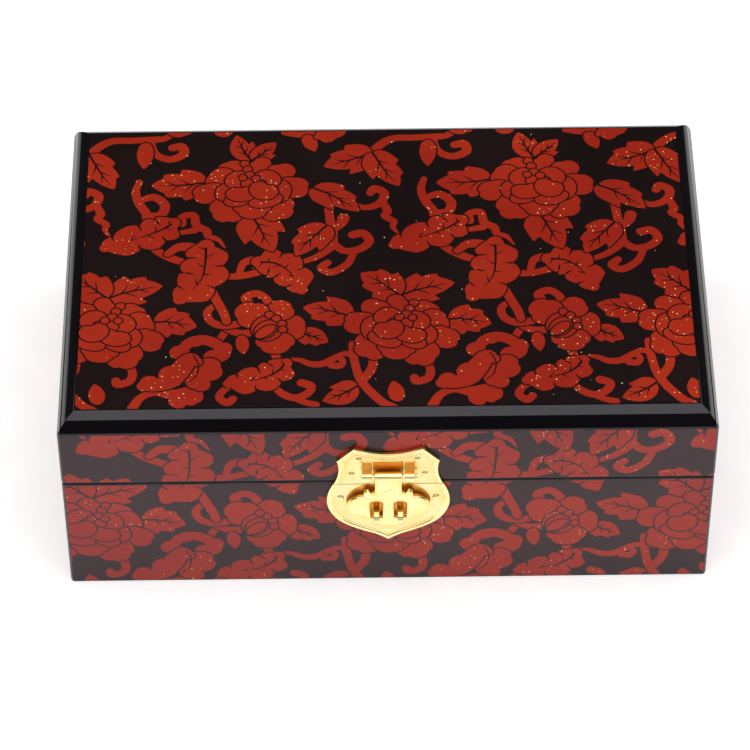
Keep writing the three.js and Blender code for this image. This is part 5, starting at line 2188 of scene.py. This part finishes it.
@dataclass
class Tray:
    """The lift-out tray: a covered shell, three dividers and five rolls for rings."""

    finishes: Finishes
    half_x: float = 112.2
    half_y: float = 68.7
    low: float = 33.5
    high: float = 57.0
    wall: float = 3.0
    floor: float = 2.5
    divider: float = 2.4
    long_y: float = 2.0
    cross_x: float = 37.0
    rolls: int = 5
    roll_height: float = 16.0
    gap: float = 0.3

    def shell(self) -> Piece:
        """The tray's walls and floor, with a rounded rim: half a circle as wide as the wall.

        Returns:
            The new object.
        """
        turn = np.linspace(np.pi, 0, 12)
        radius = self.wall / 2
        rim = np.stack([radius + radius * np.cos(turn), self.high - radius + radius * np.sin(turn)], 1)
        foot = self.low + self.floor
        profile = np.vstack([[(0.6, self.low), (0.1, self.low + 0.3), (0, self.low + 0.8)], rim,
                             [(self.wall, foot + 0.8), (self.wall + 0.3, foot + 0.2), (self.wall + 0.9, foot)]])
        piece = ring_solid("tray_body", self.half_x, self.half_y, 1.6, profile)
        shade(piece, 60)
        return piece

    def ring_roll(self, name: str, x0: float, x1: float, y: float, half: float, foot: float) -> Piece:
        """A roll under velvet: a round-topped section that tapers to a soft dome at both ends.

        The section is flat below and a half round on straight sides above: y = half c |c|^-0.2 and
        z = straight min(1, 3.2 s) + half s^1.1, where c and s are an angle's cosine and positive sine. Along
        the roll, e from -1 to 1, z shrinks by k = (1 - e^22)^(1/3), and y by k^0.35 and a faint ripple.

        Args:
            name: The piece's name.
            x0: Left end.
            x1: Right end.
            y: Its middle.
            half: Half its width.
            foot: Its underside.

        Returns:
            The new object.
        """
        steps, around = 60, 36
        e = np.linspace(-1, 1, steps)
        share = np.maximum(1 - np.abs(e) ** 22, 0) ** (1 / 3)
        share[[0, -1]] = 0.0
        angle = np.linspace(0, 2 * np.pi, around, endpoint=False)
        c, s = np.cos(angle), np.maximum(np.sin(angle), 0)
        arch_y = half * np.sign(c) * np.abs(c) ** 0.8
        arch_z = (self.roll_height - half) * np.minimum(1, 3.2 * s) + half * s**1.1
        ripple = 1 + 0.012 * np.sin(e * 31 + y)
        points = np.stack([
            np.repeat(((x0 + x1) / 2 + (x1 - x0) / 2 * e)[:, None], around, 1),
            y + share[:, None] ** 0.35 * ripple[:, None] * arch_y[None],
            foot + share[:, None] * arch_z[None],
        ], -1)
        piece = build_mesh(name, points.reshape(-1, 3), grid_faces(steps, around))
        edit_mesh(piece, lambda work: bmesh.ops.dissolve_degenerate(work, edges=work.edges, dist=MERGE))
        face_outwards(piece)
        shade(piece, 70)
        return piece

    def build(self) -> None:
        """Makes the tray and what it carries."""
        velvet, gap = [self.finishes.velvet], self.gap
        settle(self.shell(), Body.TRAY, Slot.VELVET, velvet, "tray_shell")
        end_x, end_y = self.half_x - self.wall - gap, self.half_y - self.wall - gap
        foot, top, half = self.low + self.floor + gap, self.high - 1, self.divider / 2
        y, x = self.long_y, self.cross_x
        bars = {
            "tray_long_divider": ((-end_x, y - half), (end_x, y + half), (60, 2, 8)),
            "tray_right_divider": ((x - half, -end_y), (x + half, end_y), (2, 40, 8)),
            "tray_left_divider": ((-x - half, y + half + gap), (-x + half, end_y), (2, 24, 8)),
        }
        for name, (low, high, counts) in bars.items():
            bar = padded_block(f"{name}_velvet", (*low, foot), (*high, top), 1.0, counts=counts)
            settle(bar, Body.TRAY, Slot.VELVET, velvet, name)
        pitch = (y - half - gap + end_y) / self.rolls
        for k in range(self.rolls):
            middle, name = -end_y + (k + 0.5) * pitch, f"ring_roll_{k + 1}"
            roll = self.ring_roll(f"{name}_velvet", -end_x, x - half - gap, middle, pitch / 2 - gap / 2, foot)
            settle(roll, Body.TRAY, Slot.VELVET, velvet, name)


# ---- Studio ----


@dataclass(frozen=True)
class Lamp:
    """A rectangular lamp that shines down, tilted up by some degrees towards the back."""

    name: str
    spot: tuple[float, float, float]
    size: tuple[float, float]
    watts: float
    tilt: float = 0.0

    def hang(self, lit: bpy.types.Collection | None = None) -> None:
        """Adds the lamp.

        Args:
            lit: The only pieces that it lights, or none for all.
        """
        data = bpy.data.lights.new(self.name, "AREA")
        data.shape = "RECTANGLE"
        data.size, data.size_y = self.size
        data.energy = self.watts
        lamp = bpy.data.objects.new(self.name, data)
        lamp.location = self.spot
        lamp.rotation_euler.x = math.radians(self.tilt)
        lamp.light_linking.receiver_collection = lit
        bpy.context.scene.collection.objects.link(lamp)


@dataclass
class Studio:
    """Camera, pale floor and soft light. The camera's place is in millimetres, its angles are in degrees."""

    camera_place: tuple[float, float, float] = (-11.2, -1034.9, 1168.1)
    azimuth: float = -0.385
    elevation: float = 47.732
    roll: float = -0.367
    lens: float = 183.3
    sensor: float = 36.0
    reach: float = 6.0
    paper_glow: float = 0.34
    backdrop: float = 1.0
    room: float = 0.32
    room_in_reflections: float = 0.06
    overhead: Lamp = Lamp("overhead", (0, -0.45, 1.6), (3.0, 1.9), 31)
    front: Lamp = Lamp("front", (0, -1.9, 0.75), (2.4, 0.8), 4.5, 69)

    def camera(self) -> None:
        """Places the camera where the photograph was taken from."""
        az, el, roll = (math.radians(angle) for angle in (self.azimuth, self.elevation, self.roll))
        back = Vector((math.sin(az) * math.cos(el), -math.cos(az) * math.cos(el), math.sin(el)))
        right = (-back).cross(Vector((0, 0, 1))).normalized()
        up = right.cross(-back)
        turned_right = math.cos(roll) * right + math.sin(roll) * up
        turned_up = -math.sin(roll) * right + math.cos(roll) * up
        data = bpy.data.cameras.new("camera")
        data.lens = self.lens
        data.sensor_width = self.sensor
        data.clip_start, data.clip_end = 0.05, 50
        camera = bpy.data.objects.new("camera", data)
        bpy.context.scene.collection.objects.link(camera)
        turn = Matrix((turned_right, turned_up, back)).transposed().to_4x4()
        camera.matrix_world = Matrix.Translation(Vector(self.camera_place) * MM) @ turn
        bpy.context.scene.camera = camera

    def floor(self) -> None:
        """A wide pale floor, brighter to the camera so that it reads as white paper."""
        mesh, r = bpy.data.meshes.new("floor"), self.reach
        mesh.from_pydata([(-r, -r, 0), (r, -r, 0), (r, r, 0), (-r, r, 0)], [], [(0, 1, 2, 3)])
        floor = bpy.data.objects.new("floor", mesh)
        bpy.context.scene.collection.objects.link(floor)
        material, graph, shader, place = new_material("white_paper")
        fibre = graph.ramp(graph.noise(place, 60.0, 8.0), 0.42, 0.62)
        tone = graph.mix(fibre, (0.92, 0.92, 0.93, 1), (0.95, 0.95, 0.95, 1))
        path = graph.add("ShaderNodeLightPath")
        seen = graph.math("MAXIMUM", path.outputs["Is Camera Ray"], path.outputs["Is Glossy Ray"])
        glow = graph.math("MULTIPLY", seen, self.paper_glow)
        graph.feed(shader, {
            "Base Color": tone, "Roughness": 0.9, "Emission Color": (1, 1, 1, 1), "Emission Strength": glow,
        })
        mesh.materials.append(material)

    def light(self) -> None:
        """A wide lamp overhead, a low one in front for the gilt metal alone, and a white backdrop.

        The front lamp would grey the lacquer. The world's strength is room, backdrop to the camera, and
        room_in_reflections to glossy rays, so that the lacquer mirrors a dark room as in the photograph.
        """
        gilded = bpy.data.collections.new("gilded_pieces")
        for piece in bpy.data.objects:
            if piece.type == "MESH" and any("gilt" in material.name for material in piece.data.materials):
                gilded.objects.link(piece)
        self.overhead.hang()
        self.front.hang(gilded)
        world = bpy.data.worlds.new("room")
        bpy.context.scene.world = world
        world.use_nodes = True
        graph = Graph(world.node_tree)
        background = world.node_tree.nodes["Background"]
        path = graph.add("ShaderNodeLightPath")
        dimming = self.room_in_reflections - self.room
        dimmed = graph.math("MULTIPLY_ADD", path.outputs["Is Glossy Ray"], dimming, self.room)
        strength = graph.math("MULTIPLY_ADD", path.outputs["Is Camera Ray"], self.backdrop - self.room, dimmed)
        graph.feed(background, {"Strength": strength, "Color": (1, 1, 1, 1)})

    def build(self) -> None:
        """Makes the camera and the floor. The light comes after the pieces, as it looks for the gilt ones."""
        self.camera()
        self.floor()
        bpy.context.scene.view_settings.view_transform = "Standard"


def main() -> None:
    """Builds the box and the studio round it."""
    logging.basicConfig(level=logging.INFO, format="%(name)s: %(message)s")
    studio = Studio()
    studio.build()
    hull, finishes, scroll = Hull(), Finishes(), PeonyScroll().draw()
    Case(hull, finishes).build(scroll)
    Lid(hull, finishes).build(scroll)
    Hasp(finishes).build()
    Hinges(hull, finishes).build()
    Interior(hull, finishes).build()
    Tray(finishes).build()
    studio.light()


if __name__ == "__main__":
    main()
